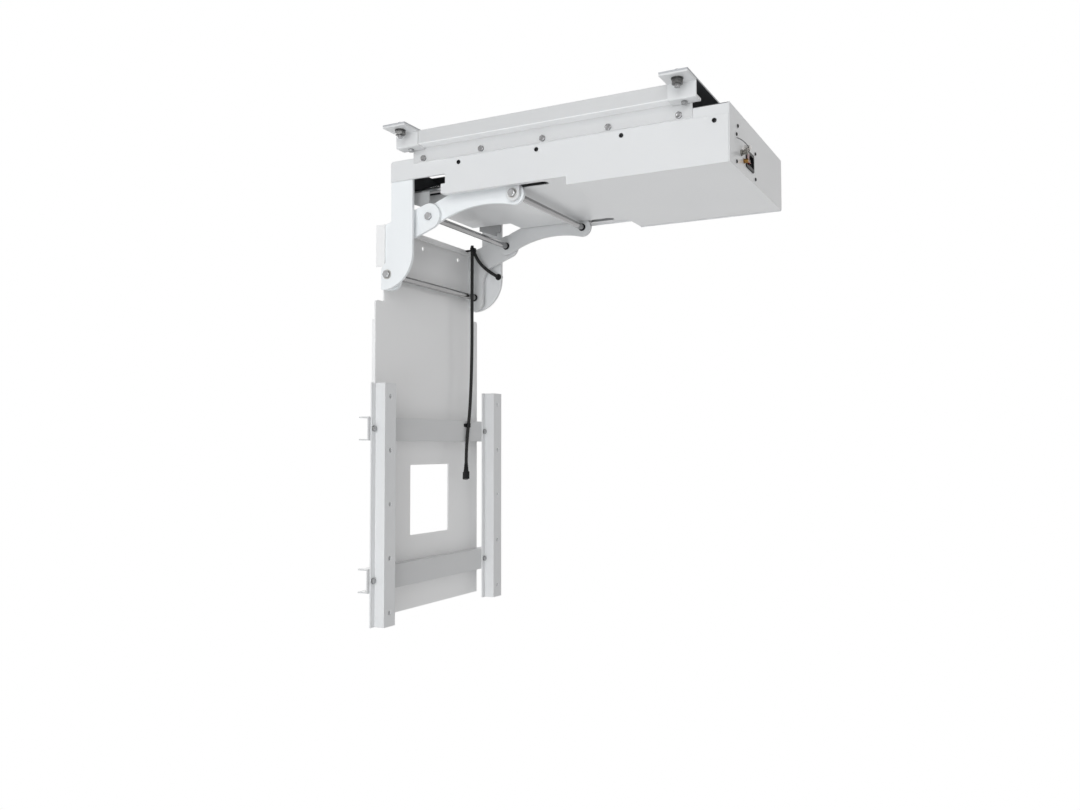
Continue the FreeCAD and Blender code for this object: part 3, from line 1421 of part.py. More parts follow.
# Power lead: down the column in front of the hip shaft, to a plug between the uprights.
# Each row is x from the clip, y from the clip or from the cross rail's face, z from the top.
UPPER_LEAD = ((0, 0, 9), (0, 0, -41), (-0.6, -0.2, -93), (0, 0, -146), (0.8, 0.4, -199))
LOWER_LEAD = ((0, -0.4, -252), (-2, 0, -305), (-7, 0, -357), (-16, 0, -406), (-23, -1.6, -438),
              (-29, -5, -466))
cable = d.cable_dia.value
lead_x = (claw_inner - d.cable_inset).value
lead_y = (d.hip_y - d.shaft_dia / 2 - d.cable_dia / 2 - d.cable_ahead).value
rest_y = (cross_front_y - d.cable_dia / 2 - d.cable_rest).value
top = column_top.value
lead = [Vector(lead_x + x, lead_y + y, top + z) for x, y, z in UPPER_LEAD]
lead += [Vector(lead_x + x, rest_y + y, top + z) for x, y, z in LOWER_LEAD]
keep(cord("power_lead", lead, cable))
along = (lead[-1] - lead[-2]).normalize()
tip = lead[-1] + along * d.plug_gap.value
keep(cylinder("power_plug", d.plug_dia / 2, d.plug_len, tip.x, tip.y, tip.z, along))

# Slack loop from the column's clip, under the claw, to the grommet in the drop plate.
# Each row is x and y from the lead, z from the loop's start.
LOOP = ((0, -0.5, 0), (1.8, -2.5, -14.7), (6.5, -8.5, -29.7), (14, -20, -42.7))
LOOP_LAST = (26, -31.5, 2.2)
grommet_x = drop_inner - d.grommet_lip_thk
loop_x = lead_x + d.loop_aside.value
loop = [Vector(loop_x + x, lead_y + y, top - d.loop_below.value + z) for x, y, z in LOOP]
loop.append(Vector(loop_x + LOOP_LAST[0], lead_y + LOOP_LAST[1], grommet_z.value + LOOP_LAST[2]))
loop.append(Vector((grommet_x - d.loop_end_gap).value, grommet_y.value, grommet_z.value))
keep(cord("lead_loop", loop, cable))
lip = d.grommet_dia / 2 + d.grommet_lip
keep(fuse("lead_grommet", [
    cylinder("grommet_plug", d.grommet_dia / 2, d.drop_thk + d.grommet_lip_thk * 2, grommet_x,
             grommet_y, grommet_z, X),
    cylinder("grommet_inner", lip, d.grommet_lip_thk, grommet_x, grommet_y, grommet_z, X),
    cylinder("grommet_outer", lip, d.grommet_lip_thk, inner, grommet_y, grommet_z, X)]))

# Clips that hold the lead: on the column's hem, and on the face of the upper cross rail
clip_low = column_top - d.clip_foot_thk
clip_y = lead_y - d.clip_depth / 2
clip = fuse("hem_clip_body", [
    box("hem_clip_foot", lead_x - d.clip_foot_width / 2, lead_y, clip_low, d.clip_foot_width,
        hem_front - lead_y, d.clip_foot_thk),
    box("hem_clip_block", lead_x - d.clip_left, clip_y, clip_low, d.clip_width, d.clip_depth,
        d.clip_height)])
hem_clip = cut("hem_clip", clip, [
    cylinder("hem_clip_bore", d.cable_dia / 2 + d.clip_bore_gap, d.cut_len, lead_x, lead_y,
             clip_low - d.cut_over, Z)])
saddle_x = lead_x - d.saddle_aside
saddle_z = cross_rows[0] + d.saddle_above
saddle = fuse("saddle_body", [
    box("saddle_block", saddle_x - d.saddle_width / 2, cross_front_y - d.saddle_depth, saddle_z,
        d.saddle_width, d.saddle_depth, d.saddle_height),
    box("saddle_feet", saddle_x - d.saddle_feet_width / 2, cross_front_y - d.saddle_feet_thk,
        saddle_z, d.saddle_feet_width, d.saddle_feet_thk, d.saddle_height)])
run = lead[8] - lead[7]
saddle_clip = cut("saddle_clip", saddle, [
    cylinder("saddle_bore", d.cable_dia / 2 + d.saddle_bore_gap, run.Length, lead[7].x,
             lead[7].y, lead[7].z, run)])
keep(group("lead_clips", [hem_clip, saddle_clip]))

# Thin aerial wire, bowed in front of the end face from its hole to the aerial jack.
# Each row is x, y and z from the start.
WIRE = ((0, 0, 0), (4, -5, -0.4), (12, -7.5, -1.2), (22, -8.2, -2.2), (32, -8, -2.8))
wire_x, wire_z = port_screws[1][0], port_screws[1][1] - d.wire_start_below
wire_y = front_y - d.wire_start_gap
wire = [Vector(wire_x.value + x, wire_y.value + y, wire_z.value + z) for x, y, z in WIRE]
jack_side = aerial_spot[0] - d.jack_dia / 2 - d.wire_dia / 2 - d.end_gap
wire.append(Vector(jack_side.value, (front_y - d.wire_end_ahead).value,
                   (aerial_spot[1] + d.wire_end_above).value))
keep(cord("aerial_wire", wire, d.wire_dia.value))

doc.recompute()

# Every object must be sound before anything is written
if len({node.Label for node in nodes}) != len(nodes):
    raise RuntimeError("two pieces share a label")
for thing in doc.Objects:
    if "Invalid" in thing.State or "Error" in thing.State:
        raise RuntimeError("%s failed: %s" % (thing.Name, thing.State))
for node in nodes:
    if node.Shape.isNull() or not node.Shape.isValid():
        raise RuntimeError("%s has no sound shape" % node.Label)
    if not node.Shape.Solids:
        raise RuntimeError("%s has no solid" % node.Label)
for node in nodes:
    node.Shape.exportStep("parts/%s.step" % node.Label)
print("%d nodes, %d solids" % (len(nodes), sum(len(node.Shape.Solids) for node in nodes)))
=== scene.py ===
import math

import bpy
import bmesh
from mathutils import Matrix, Vector


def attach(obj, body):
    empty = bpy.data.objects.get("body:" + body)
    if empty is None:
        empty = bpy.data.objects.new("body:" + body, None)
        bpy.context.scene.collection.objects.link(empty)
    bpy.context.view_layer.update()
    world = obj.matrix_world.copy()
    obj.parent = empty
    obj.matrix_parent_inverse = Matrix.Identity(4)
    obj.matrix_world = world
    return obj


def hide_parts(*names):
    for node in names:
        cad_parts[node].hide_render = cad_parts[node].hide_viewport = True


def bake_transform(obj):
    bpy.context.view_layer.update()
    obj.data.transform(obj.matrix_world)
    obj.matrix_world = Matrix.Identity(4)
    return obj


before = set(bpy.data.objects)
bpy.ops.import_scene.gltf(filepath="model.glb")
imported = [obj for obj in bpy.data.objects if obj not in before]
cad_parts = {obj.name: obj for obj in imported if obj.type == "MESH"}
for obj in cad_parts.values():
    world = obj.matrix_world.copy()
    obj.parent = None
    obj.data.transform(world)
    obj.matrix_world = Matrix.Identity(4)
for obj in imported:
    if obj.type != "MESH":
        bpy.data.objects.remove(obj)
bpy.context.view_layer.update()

# Camera at the photograph's place: below the mount, in front of it and to its left. The place
# and the angles come from the straight edges of the box in the photograph.
CAMERA_PLACE = Vector((-1.6412, -0.7495, -0.5902))
CAMERA_YAW = math.radians(62.754)
CAMERA_PITCH = math.radians(2.559)
CAMERA_ROLL = math.radians(-0.07)
PHOTO_WIDTH = 1080
PHOTO_FOCAL_PX = 947.97
SENSOR_WIDTH = 36.0


def stand(name, data):
    """An object of the scene that shows some data."""
    made = bpy.data.objects.new(name, data)
    bpy.context.scene.collection.objects.link(made)
    return made


lens = bpy.data.cameras.new("photo_camera")
lens.sensor_width = SENSOR_WIDTH
lens.lens = SENSOR_WIDTH * PHOTO_FOCAL_PX / PHOTO_WIDTH
camera = stand("photo_camera", lens)
camera.location = CAMERA_PLACE
turn = (Matrix.Rotation(-CAMERA_YAW, 4, "Z")
        @ Matrix.Rotation(math.pi / 2 + CAMERA_PITCH, 4, "X")
        @ Matrix.Rotation(CAMERA_ROLL, 4, "Z"))
camera.rotation_euler = turn.to_euler()
bpy.context.scene.camera = camera

# Studio: a pale floor well below the mount and a pale world behind it. The floor takes the
# light's shade, and the camera and the bright metal see both as white.
FLOOR_HALF, FLOOR_DROP = 14.0, -2.3
FLOOR_COLOUR, FLOOR_ROUGHNESS = (0.86, 0.86, 0.86, 1.0), 0.9
FULL_WHITE = (1.0, 1.0, 1.0, 1.0)
WORLD_LEVEL = 0.40


def mesh_piece(name, verts, faces, sharp=None):
    """A mesh object with its place in its mesh, smooth but for corners past an angle in degrees."""
    mesh = bpy.data.meshes.new(name)
    mesh.from_pydata([tuple(v) for v in verts], [], faces)
    mesh.update()
    piece = stand(name, mesh)
    if sharp:
        mesh.shade_smooth()
        mesh.set_sharp_from_angle(angle=math.radians(sharp))
    return piece


def join(tree, *runs):
    """Link a tree's nodes. A run names a node, its output, the next node and its input."""
    for first, output, second, slot in runs:
        tree.links.new(first.outputs[output], second.inputs[slot])


def set_inputs(node, **values):
    """Set a node's inputs, which are named in words joined by underscores."""
    for label, value in values.items():
        node.inputs[label.replace("_", " ")].default_value = value
    return node


def seen_as(tree, shade, seen, ending):
    """Show one shader to the camera and to gloss, and let the other one light the object."""
    sight = tree.nodes.new("ShaderNodeLightPath")
    gloss_too = tree.nodes.new("ShaderNodeMath")
    glass_too = tree.nodes.new("ShaderNodeMath")
    gloss_too.operation = glass_too.operation = "MAXIMUM"
    choice = tree.nodes.new("ShaderNodeMixShader")
    join(tree, (sight, "Is Camera Ray", gloss_too, 0), (sight, "Is Glossy Ray", gloss_too, 1),
         (gloss_too, 0, glass_too, 0), (sight, "Is Transmission Ray", glass_too, 1),
         (glass_too, 0, choice, 0), (shade, 0, choice, 1), (seen, 0, choice, 2),
         (choice, 0, ending, "Surface"))


floor = mesh_piece("studio_floor", [
    (x * FLOOR_HALF, y * FLOOR_HALF, FLOOR_DROP) for x, y in ((-1, -1), (1, -1), (1, 1), (-1, 1))],
    [(0, 1, 2, 3)])
floor_paint = bpy.data.materials.new("floor_paint")
floor_paint.use_nodes = True
floor_nodes = floor_paint.node_tree.nodes
floor_shader = set_inputs(floor_nodes["Principled BSDF"], Base_Color=FLOOR_COLOUR,
                          Roughness=FLOOR_ROUGHNESS)
floor_glow = set_inputs(floor_nodes.new("ShaderNodeEmission"), Color=FULL_WHITE)
seen_as(floor_paint.node_tree, floor_shader, floor_glow, floor_nodes["Material Output"])
floor.data.materials.append(floor_paint)

world = bpy.data.worlds.new("studio")
bpy.context.scene.world = world
world.use_nodes = True
sky_nodes = world.node_tree.nodes
sky = set_inputs(sky_nodes["Background"], Color=FULL_WHITE, Strength=WORLD_LEVEL)
sky_seen = set_inputs(sky_nodes.new("ShaderNodeBackground"), Color=FULL_WHITE, Strength=1.0)
seen_as(world.node_tree, sky, sky_seen, sky_nodes["World Output"])

for name, place, aim, size, power, colour in (
        ("key_light", (-4.6, -1.4, 1.0), (0, 0, -0.2), 2.4, 58, (1.0, 1.0, 1.0)),
        ("low_light", (-3.9, -0.3, -2.1), (0, 0.1, -0.3), 2.4, 92, (0.95, 0.98, 1.0)),
        ("back_light", (1.6, 2.4, 0.8), (0, 0.2, -0.2), 1.4, 30, (1.0, 1.0, 1.0))):
    data = bpy.data.lights.new(name, "AREA")
    data.energy = power
    data.size = size
    data.color = colour
    light = stand(name, data)
    light.location = place
    light.rotation_euler = (Vector(aim) - Vector(place)).to_track_quat("-Z", "Y").to_euler()

bpy.context.scene.view_settings.view_transform = "Standard"

# Ceiling straps: two flat bars in a dark primer that lie on the ceiling between the studs. The
# coat is dull and dusty, and its near-black tone is partly painted shade, the shade above the box.
# The bar's sheared edges are bare and painted pale, a painted highlight along the edges.
STRAP_EDGE_HIGHLIGHT = (0.52, 0.53, 0.55, 1.0)
STEEP_HIGHLIGHT_FACES = (-0.5, 0.5)
PRIMER_DARK_PAINTED_SHADE = (0.045, 0.048, 0.053, 1.0)
PRIMER_DUST_AND_SHADE = (0.085, 0.088, 0.095, 1.0)
PATCH_DETAIL, SKIN_DETAIL, SKIN_HEIGHT = 5.0, 2.0, 0.0005
EDGE_SAMPLES, CLEAR_COAT_ROUGHNESS = 4, 0.08


def paint(name, light, shade, rough, peel, patch_scale=6.0, coat=0.0, edge=0.0006, shine=0.5):
    """A coat of two close tones in soft patches, with uneven gloss and a skin (scale, depth)."""
    made = bpy.data.materials.new(name)
    made.use_nodes = True
    nodes = made.node_tree.nodes
    shader = nodes["Principled BSDF"]
    place = nodes.new("ShaderNodeTexCoord")
    patches = set_inputs(nodes.new("ShaderNodeTexNoise"), Scale=patch_scale, Detail=PATCH_DETAIL)
    tones = nodes.new("ShaderNodeMix")
    tones.data_type = "RGBA"
    set_inputs(tones, A=light, B=shade)
    gloss = set_inputs(nodes.new("ShaderNodeMapRange"), To_Min=rough[0], To_Max=rough[1])
    skin = set_inputs(nodes.new("ShaderNodeTexNoise"), Scale=peel[0], Detail=SKIN_DETAIL)
    soft_edge = set_inputs(nodes.new("ShaderNodeBevel"), Radius=edge)
    soft_edge.samples = EDGE_SAMPLES
    bump = set_inputs(nodes.new("ShaderNodeBump"), Strength=peel[1], Distance=SKIN_HEIGHT)
    set_inputs(shader, Specular_IOR_Level=shine, Coat_Weight=coat,
               Coat_Roughness=CLEAR_COAT_ROUGHNESS)
    join(made.node_tree, (place, "Object", patches, "Vector"), (place, "Object", skin, "Vector"),
         (patches, "Fac", tones, "Factor"), (tones, "Result", shader, "Base Color"),
         (patches, "Fac", gloss, "Value"), (gloss, "Result", shader, "Roughness"),
         (skin, "Fac", bump, "Height"), (soft_edge, "Normal", bump, "Normal"),
         (bump, "Normal", shader, "Normal"))
    return made


def faces_tinted(made, tint, low, high):
    """Give a second tone to the faces whose normal's Z lies between two values."""
    nodes = made.node_tree.nodes
    facing = nodes.new("ShaderNodeNewGeometry")
    upright = nodes.new("ShaderNodeSeparateXYZ")
    inside = nodes.new("ShaderNodeMath")
    inside.operation = "COMPARE"
    inside.inputs[1].default_value = (low + high) / 2
    inside.inputs[2].default_value = (high - low) / 2
    both = nodes.new("ShaderNodeMix")
    both.data_type = "RGBA"
    set_inputs(both, B=tint)
    join(made.node_tree, (facing, "True Normal", upright, "Vector"), (upright, "Z", inside, 0),
         (inside, "Value", both, "Factor"), (nodes["Mix"], "Result", both, "A"),
         (both, "Result", nodes["Principled BSDF"], "Base Color"))


def dress(material, *names):
    """Put a material on nodes of the CAD."""
    for name in names:
        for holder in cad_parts[name].material_slots:
            holder.material = material


strap_primer_painted_shade = paint("strap_primer_painted_shade", PRIMER_DARK_PAINTED_SHADE, PRIMER_DUST_AND_SHADE, (0.5, 0.75), (260.0, 0.5), 30.0)
# Painted highlight: the steep faces, which are the bar's edges, get the pale tone.
faces_tinted(strap_primer_painted_shade, STRAP_EDGE_HIGHLIGHT, *STEEP_HIGHLIGHT_FACES)
dress(strap_primer_painted_shade, "ceiling_straps")

# Hanger brackets and rails: folded 3 mm sheet, powder coated in a glossy white. The rails, which
# are bolted to the frame sides, are painted a little greyer as painted shade, and their
# undersides whiter as painted light.
WHITE_COAT, WHITE_SHADE = (0.80, 0.805, 0.81, 1.0), (0.74, 0.75, 0.76, 1.0)
RAIL_GREY_PAINTED_SHADE, RAIL_PATCH_PAINTED_SHADE = (0.70, 0.705, 0.71, 1.0), (0.65, 0.655, 0.66, 1.0)
SHELF_PAINTED_LIGHT = (0.95, 0.955, 0.96, 1.0)
LIT_UNDERSIDE_FACES = (-1.1, -0.5)
PEEL_SCALE = 900.0


def powder_coat(name, light, shade, rough=(0.32, 0.44), peel_depth=0.1, patch_scale=6.0,
                coat=0.06):
    """A glossy powder coat with a faint orange peel, a little greyer in patches."""
    return paint(name, light, shade, rough, (PEEL_SCALE, peel_depth), patch_scale, coat)


white_coat = powder_coat("white_powder_coat", WHITE_COAT, WHITE_SHADE)
# Painted shade: a greyer copy of the same white coat.
rail_coat_painted_shade = powder_coat("white_rail_painted_shade", RAIL_GREY_PAINTED_SHADE, RAIL_PATCH_PAINTED_SHADE)
shelf_coat_painted_light_and_shade = powder_coat("white_shelf_painted_light_and_shade", RAIL_GREY_PAINTED_SHADE, RAIL_PATCH_PAINTED_SHADE)
# Painted light: the rails' downward faces get the whiter tone.
faces_tinted(shelf_coat_painted_light_and_shade, SHELF_PAINTED_LIGHT, *LIT_UNDERSIDE_FACES)
dress(white_coat, "hanger_brackets")
dress(shelf_coat_painted_light_and_shade, "hanger_rails")

# Ceiling studs: 10 mm zinc-plated studding with a rolled thread over its whole length, cut off
# square and deburred. The upper end goes into the ceiling.
STUD_X, STUD_Y = 0.228, 0.267
STUD_SEATS = [((x, y, 0.0), (0, 0, 1)) for x in (-STUD_X, STUD_X) for y in (-STUD_Y, STUD_Y)]
STUD_CREST, STUD_PITCH, STUD_THREAD_DEPTH = 0.005, 0.0015, 0.0007
STUD_LOW, STUD_HIGH, STUD_DEBURR = -0.021, 0.008, 0.0007
STUD_END = STUD_CREST - STUD_THREAD_DEPTH - STUD_DEBURR / 2
STUD_SIDES, RINGS_PER_TURN = 24, 5
SHARP_CORNER = 32
ZINC_BRIGHT, ZINC_DULL = (0.50, 0.505, 0.52, 1.0), (0.30, 0.30, 0.295, 1.0)
METAL_EDGE, PAINTED_SHADE_REACH = 0.0002, 0.003


def metal(name, light, dark, rough, grain=(400.0, 0.15), patch_scale=90.0,
          stretched=(1.0, 1.0, 1.0)):
    """Bare or plated metal: tones in patches, a grain along one axis, painted shade in the corners.
    """
    made = paint(name, light, dark, rough, grain, patch_scale, edge=METAL_EDGE)
    nodes = made.node_tree.nodes
    shader = set_inputs(nodes["Principled BSDF"], Metallic=1.0)
    # Painted shade: the colour darkens where other faces lie close, in corners and recesses.
    corners = set_inputs(nodes.new("ShaderNodeAmbientOcclusion"), Distance=PAINTED_SHADE_REACH)
    stretch = set_inputs(nodes.new("ShaderNodeMapping"), Scale=stretched)
    skin = nodes["Bump"].inputs["Height"].links[0].from_node
    join(made.node_tree, (nodes["Mix"], "Result", corners, "Color"),
         (corners, "Color", shader, "Base Color"),
         (nodes["Texture Coordinate"], "Object", stretch, "Vector"),
         (stretch, "Vector", skin, "Vector"))
    return made


def turned(rings, segments=48, loop=False):
    """Verts and faces of a turned form. A ring is a radius and a height, or gives both by angle."""
    verts, faces = [], []
    for ring in rings:
        for j in range(segments):
            angle = 2 * math.pi * j / segments
            radius, height = ring(angle) if callable(ring) else ring
            verts.append((radius * math.cos(angle), radius * math.sin(angle), height))
    count = len(rings)
    for i in range(count if loop else count - 1):
        low, high = i * segments, (i + 1) % count * segments
        for j in range(segments):
            k = (j + 1) % segments
            faces.append((low + j, low + k, high + k, high + j))
    if not loop:
        for ring, order in ((0, -1), (count - 1, 1)):
            centre = len(verts)
            edge = [ring * segments + j for j in range(segments)][::order]
            verts.append((0.0, 0.0, sum(verts[e][2] for e in edge) / segments))
            faces.extend((centre, edge[j], edge[(j + 1) % segments]) for j in range(segments))
    return verts, faces


def thread(low, high, crest, pitch, depth):
    """Rings of a right-hand screw thread between two heights."""
    steps = max(2, round((high - low) / pitch * RINGS_PER_TURN))

    def ring(height):
        def at(angle):
            phase = (height / pitch - angle / (2 * math.pi)) % 1
            return crest - depth * abs(phase * 2 - 1), height
        return at
    return [ring(low + (high - low) * k / steps) for k in range(steps + 1)]


# The tree that stands every kind of fastener of the mount on its seats: it turns a copy to each
# seat's aim, gives it a spin of its own as a spanner leaves it, and names the finish.
seat_tree = bpy.data.node_groups.new("fasteners_on_seats", "GeometryNodeTree")
for label, kind in (("Seats", "NodeSocketGeometry"), ("Fastener", "NodeSocketObject"),
                    ("Size", "NodeSocketFloat"), ("Spin", "NodeSocketFloat"),
                    ("Seed", "NodeSocketInt"), ("Finish", "NodeSocketMaterial")):
    seat_tree.interface.new_socket(label, in_out="INPUT", socket_type=kind)
seat_tree.interface.new_socket("Fasteners", in_out="OUTPUT", socket_type="NodeSocketGeometry")
seat_nodes = seat_tree.nodes
given = seat_nodes.new("NodeGroupInput")
result = seat_nodes.new("NodeGroupOutput")
source = seat_nodes.new("GeometryNodeObjectInfo")
aim_read = set_inputs(seat_nodes.new("GeometryNodeInputNamedAttribute"), Name="aim")
aim_read.data_type = "FLOAT_VECTOR"
point_at = seat_nodes.new("FunctionNodeAlignRotationToVector")
point_at.axis = "Z"
chance = seat_nodes.new("FunctionNodeRandomValue")
chance.data_type = "FLOAT"
spin_by = seat_nodes.new("FunctionNodeAxisAngleToRotation")
turn_on = seat_nodes.new("FunctionNodeRotateRotation")
turn_on.rotation_space = "LOCAL"
on_seats = seat_nodes.new("GeometryNodeInstanceOnPoints")
realise = seat_nodes.new("GeometryNodeRealizeInstances")
finish_with = seat_nodes.new("GeometryNodeSetMaterial")
join(seat_tree, (given, "Fastener", source, "Object"), (aim_read, "Attribute", point_at, "Vector"),
     (given, "Spin", chance, 3), (given, "Seed", chance, "Seed"), (chance, 1, spin_by, "Angle"),
     (point_at, "Rotation", turn_on, "Rotation"), (spin_by, "Rotation", turn_on, "Rotate By"),
     (given, "Seats", on_seats, "Points"), (source, "Geometry", on_seats, "Instance"),
     (turn_on, "Rotation", on_seats, "Rotation"), (given, "Size", on_seats, "Scale"),
     (on_seats, "Instances", realise, "Geometry"), (realise, "Geometry", finish_with, "Geometry"),
     (given, "Finish", finish_with, "Material"), (finish_with, "Geometry", result, "Fasteners"))
seat_inputs = {item.name: item.identifier for item in seat_tree.interface.items_tree
               if item.in_out == "INPUT"}


def gather(*shells):
    """Several shells as one mesh's verts and faces."""
    verts, faces = [], []
    for more, sides in shells:
        faces += [tuple(i + len(verts) for i in side) for side in sides]
        verts += more
    return verts, faces


def plain_mesh(piece):
    """A mesh of its own with a piece's final form."""
    bpy.context.view_layer.update()
    ready = piece.evaluated_get(bpy.context.evaluated_depsgraph_get())
    return bpy.data.meshes.new_from_object(ready)


def set_out(name, shape, seats, finish, body, seed, spin=2 * math.pi):
    """One mesh with a copy of the shape on each seat, which is a place and an aim."""
    pattern = mesh_piece(name + "_pattern", *shape, SHARP_CORNER)
    piece = mesh_piece(name, [place for place, aim in seats], [])
    aims = piece.data.attributes.new("aim", "FLOAT_VECTOR", "POINT")
    aims.data.foreach_set("vector", [float(part) for place, aim in seats for part in aim])
    modifier = piece.modifiers.new("seats", "NODES")
    modifier.node_group = seat_tree
    for label, value in (("Fastener", pattern), ("Size", 1.0), ("Spin", spin), ("Seed", seed),
                         ("Finish", finish)):
        modifier[seat_inputs[label]] = value
    plain = plain_mesh(piece)
    piece.modifiers.remove(modifier)
    piece.data = plain
    bpy.data.objects.remove(pattern)
    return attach(piece, body)


zinc = metal("zinc_plate", ZINC_BRIGHT, ZINC_DULL, (0.16, 0.34))
stud_shape = turned([(STUD_END, STUD_LOW)]
                    + thread(STUD_LOW + STUD_DEBURR, STUD_HIGH - STUD_DEBURR, STUD_CREST,
                             STUD_PITCH, STUD_THREAD_DEPTH)
                    + [(STUD_END, STUD_HIGH)], STUD_SIDES)
studs = set_out("stud_threads", stud_shape, STUD_SEATS, zinc, "frame", 1)
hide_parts("ceiling_studs")

# Ceiling nuts: hexagon nuts on plain washers that clamp the hanger brackets up to the ceiling.
# Both are darker steel than the studs, with a thin film of oil.
NUT_HIGH, NUT_LOW = -0.008, -0.016
NUT_FLATS, NUT_BORE, NUT_MOUTH = 0.017, 0.00505, 0.0006
CORNER_CUT, CUT_CIRCLE = math.radians(30), 0.475
WASHER_RADIUS, WASHER_PLAY = 0.010, 0.0002
WASHER_HIGH, WASHER_EDGE, WASHER_SIDES = -0.006, 0.0003, 36
OIL_PATCHES = 260.0


def hexagon(flats):
    """The distance from the axis to a hexagon's side, by angle."""
    return lambda angle: flats / 2 / math.cos(angle % (math.pi / 3) - math.pi / 6)


def hex_rings(low, high, flats, low_cut=True, high_cut=True):
    """Rings of a hexagon between two heights, its corners cut at 30 degrees as on a lathe."""
    side, flat = hexagon(flats), flats * CUT_CIRCLE

    def cut(angle):
        return (side(angle) - flat) * math.tan(CORNER_CUT)
    return [(flat, low),
            lambda angle: (side(angle), low + cut(angle) * low_cut),
            lambda angle: (side(angle), high - cut(angle) * high_cut),
            (flat, high)]


def washer(bore, radius, low, high, edge):
    """A flat ring with its outer edges broken."""
    return turned([(bore, low), (radius - edge, low), (radius, low + edge), (radius, high - edge),
                   (radius - edge, high), (bore, high)], WASHER_SIDES, loop=True)


oiled_steel = metal("oiled_steel", (0.26, 0.26, 0.26, 1), (0.03, 0.03, 0.028, 1), (0.1, 0.3),
                    patch_scale=OIL_PATCHES)
nut_shape = turned([(NUT_BORE, NUT_LOW + NUT_MOUTH), (NUT_BORE + NUT_MOUTH, NUT_LOW)]
                   + hex_rings(NUT_LOW, NUT_HIGH, NUT_FLATS)
                   + [(NUT_BORE + NUT_MOUTH, NUT_HIGH), (NUT_BORE, NUT_HIGH - NUT_MOUTH)],
                   loop=True)
washer_shape = washer(NUT_BORE + WASHER_PLAY, WASHER_RADIUS, NUT_HIGH, WASHER_HIGH, WASHER_EDGE)
ceiling_nuts = set_out("ceiling_nuts_and_washers", gather(nut_shape, washer_shape), STUD_SEATS,
                       oiled_steel, "frame", 2)
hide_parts("ceiling_nuts")

# Frame sides, side covers, rear tray and front pan: the white sheet-metal box. Its underside is
# the glossiest face, so the pan and tray get a clearer coat over the same white.
pan_coat = powder_coat("white_pan_coat", WHITE_COAT, WHITE_SHADE, (0.3, 0.4), 0.05, 3.0, 0.15)
dress(white_coat, "frame_sides", "side_covers")
dress(pan_coat, "rear_tray", "front_pan")

# Rail bolts: zinc-plated M6 hexagon bolts that join each hanger rail to its frame side, five a
# side, and a round-headed bolt and nut through each bracket's shelf.
RAIL_BOLT_X, RAIL_BOLT_Z = 0.181, -0.049
RAIL_FIRST, RAIL_PITCH, RAIL_COUNT = 0.2465, -0.125, 5
RAIL_SPOTS = [(RAIL_FIRST + k * RAIL_PITCH, RAIL_BOLT_Z) for k in range(RAIL_COUNT)]
SHELF_X, SHELF_Z = 0.193, -0.026
SHELF_SEATS = [((x, y, SHELF_Z), (0, 0, 1)) for x in (-SHELF_X, SHELF_X) for y in (-STUD_Y, STUD_Y)]
M6_HEAD, M6_FLATS, M6_SHANK = 0.004, 0.010, 0.003
M6_NUT, M6_TAIL, M6_PITCH, M6_THREAD_DEPTH = 0.005, 0.001, 0.001, 0.0004
M6_TAIL_CUT, M6_TAIL_EDGE = 0.0007, 0.0003
RAIL_GRIP, SHELF_GRIP = 0.008, 0.006
DOME_RADIUS, DOME_HEIGHT, DOME_RIM = 0.006, 0.003, 0.0006
DOME_ANGLES = (0.35, 0.7, 1.05, 1.35)


def both_sides(x, *spots):
    """Seats at a distance to either side, aimed outwards, at each spot in the YZ plane."""
    return [((sign * x, *spot), (sign, 0, 0)) for sign in (-1, 1) for spot in spots]


def tail_and_nut(grip, tail):
    """Rings from a bolt's threaded end up through its nut to the underside of the head."""
    nut_low = -grip - M6_NUT
    return ([(M6_SHANK - M6_TAIL_CUT, nut_low - tail)]
            + thread(nut_low - tail + M6_TAIL_EDGE, nut_low, M6_SHANK, M6_PITCH, M6_THREAD_DEPTH)
            + hex_rings(nut_low, -grip, M6_FLATS)
            + [(M6_SHANK, -grip), (M6_SHANK, 0.0)])


def hex_head(height, flats):
    """Rings of a forged hexagon head: washer face, sides, cut corners and a shallow dish."""
    rise, dish_depth = height * 0.07, 0.00018
    washer_face, dish_edge, dish_floor = flats * 0.46, flats * 0.38, flats * 0.34
    return ([(washer_face, 0.0), (washer_face, rise)] + hex_rings(rise, height, flats, False)
            + [(dish_edge, height), (dish_floor, height - dish_depth)])


def dome(core, radius, low, high, angles):
    """Rings that curve in from a radius towards the core as they rise."""
    return [(core + (radius - core) * math.cos(angle), low + (high - low) * math.sin(angle))
            for angle in angles]


# Painted shade: the rail bolts get a darker copy of the zinc plate, in strong dark patches.
dull_zinc_painted_shade = metal("rail_zinc_painted_shade", (0.46, 0.46, 0.47, 1.0), (0.10, 0.10, 0.10, 1.0), (0.16, 0.34),
                  patch_scale=OIL_PATCHES)
m6_head = hex_head(M6_HEAD, M6_FLATS)
rail_bolts = set_out("rail_hex_bolts", turned(tail_and_nut(RAIL_GRIP, M6_TAIL) + m6_head),
                     both_sides(RAIL_BOLT_X, *RAIL_SPOTS), dull_zinc_painted_shade, "frame", 3)
shelf_bolts = set_out("shelf_bolts", turned(
    tail_and_nut(SHELF_GRIP, M6_TAIL / 2)
    + [(DOME_RADIUS, 0.0), (DOME_RADIUS, DOME_RIM)]
    + dome(0.0, DOME_RADIUS, DOME_RIM, DOME_HEIGHT, DOME_ANGLES)), SHELF_SEATS, zinc, "frame", 4)
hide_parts("rail_bolts")

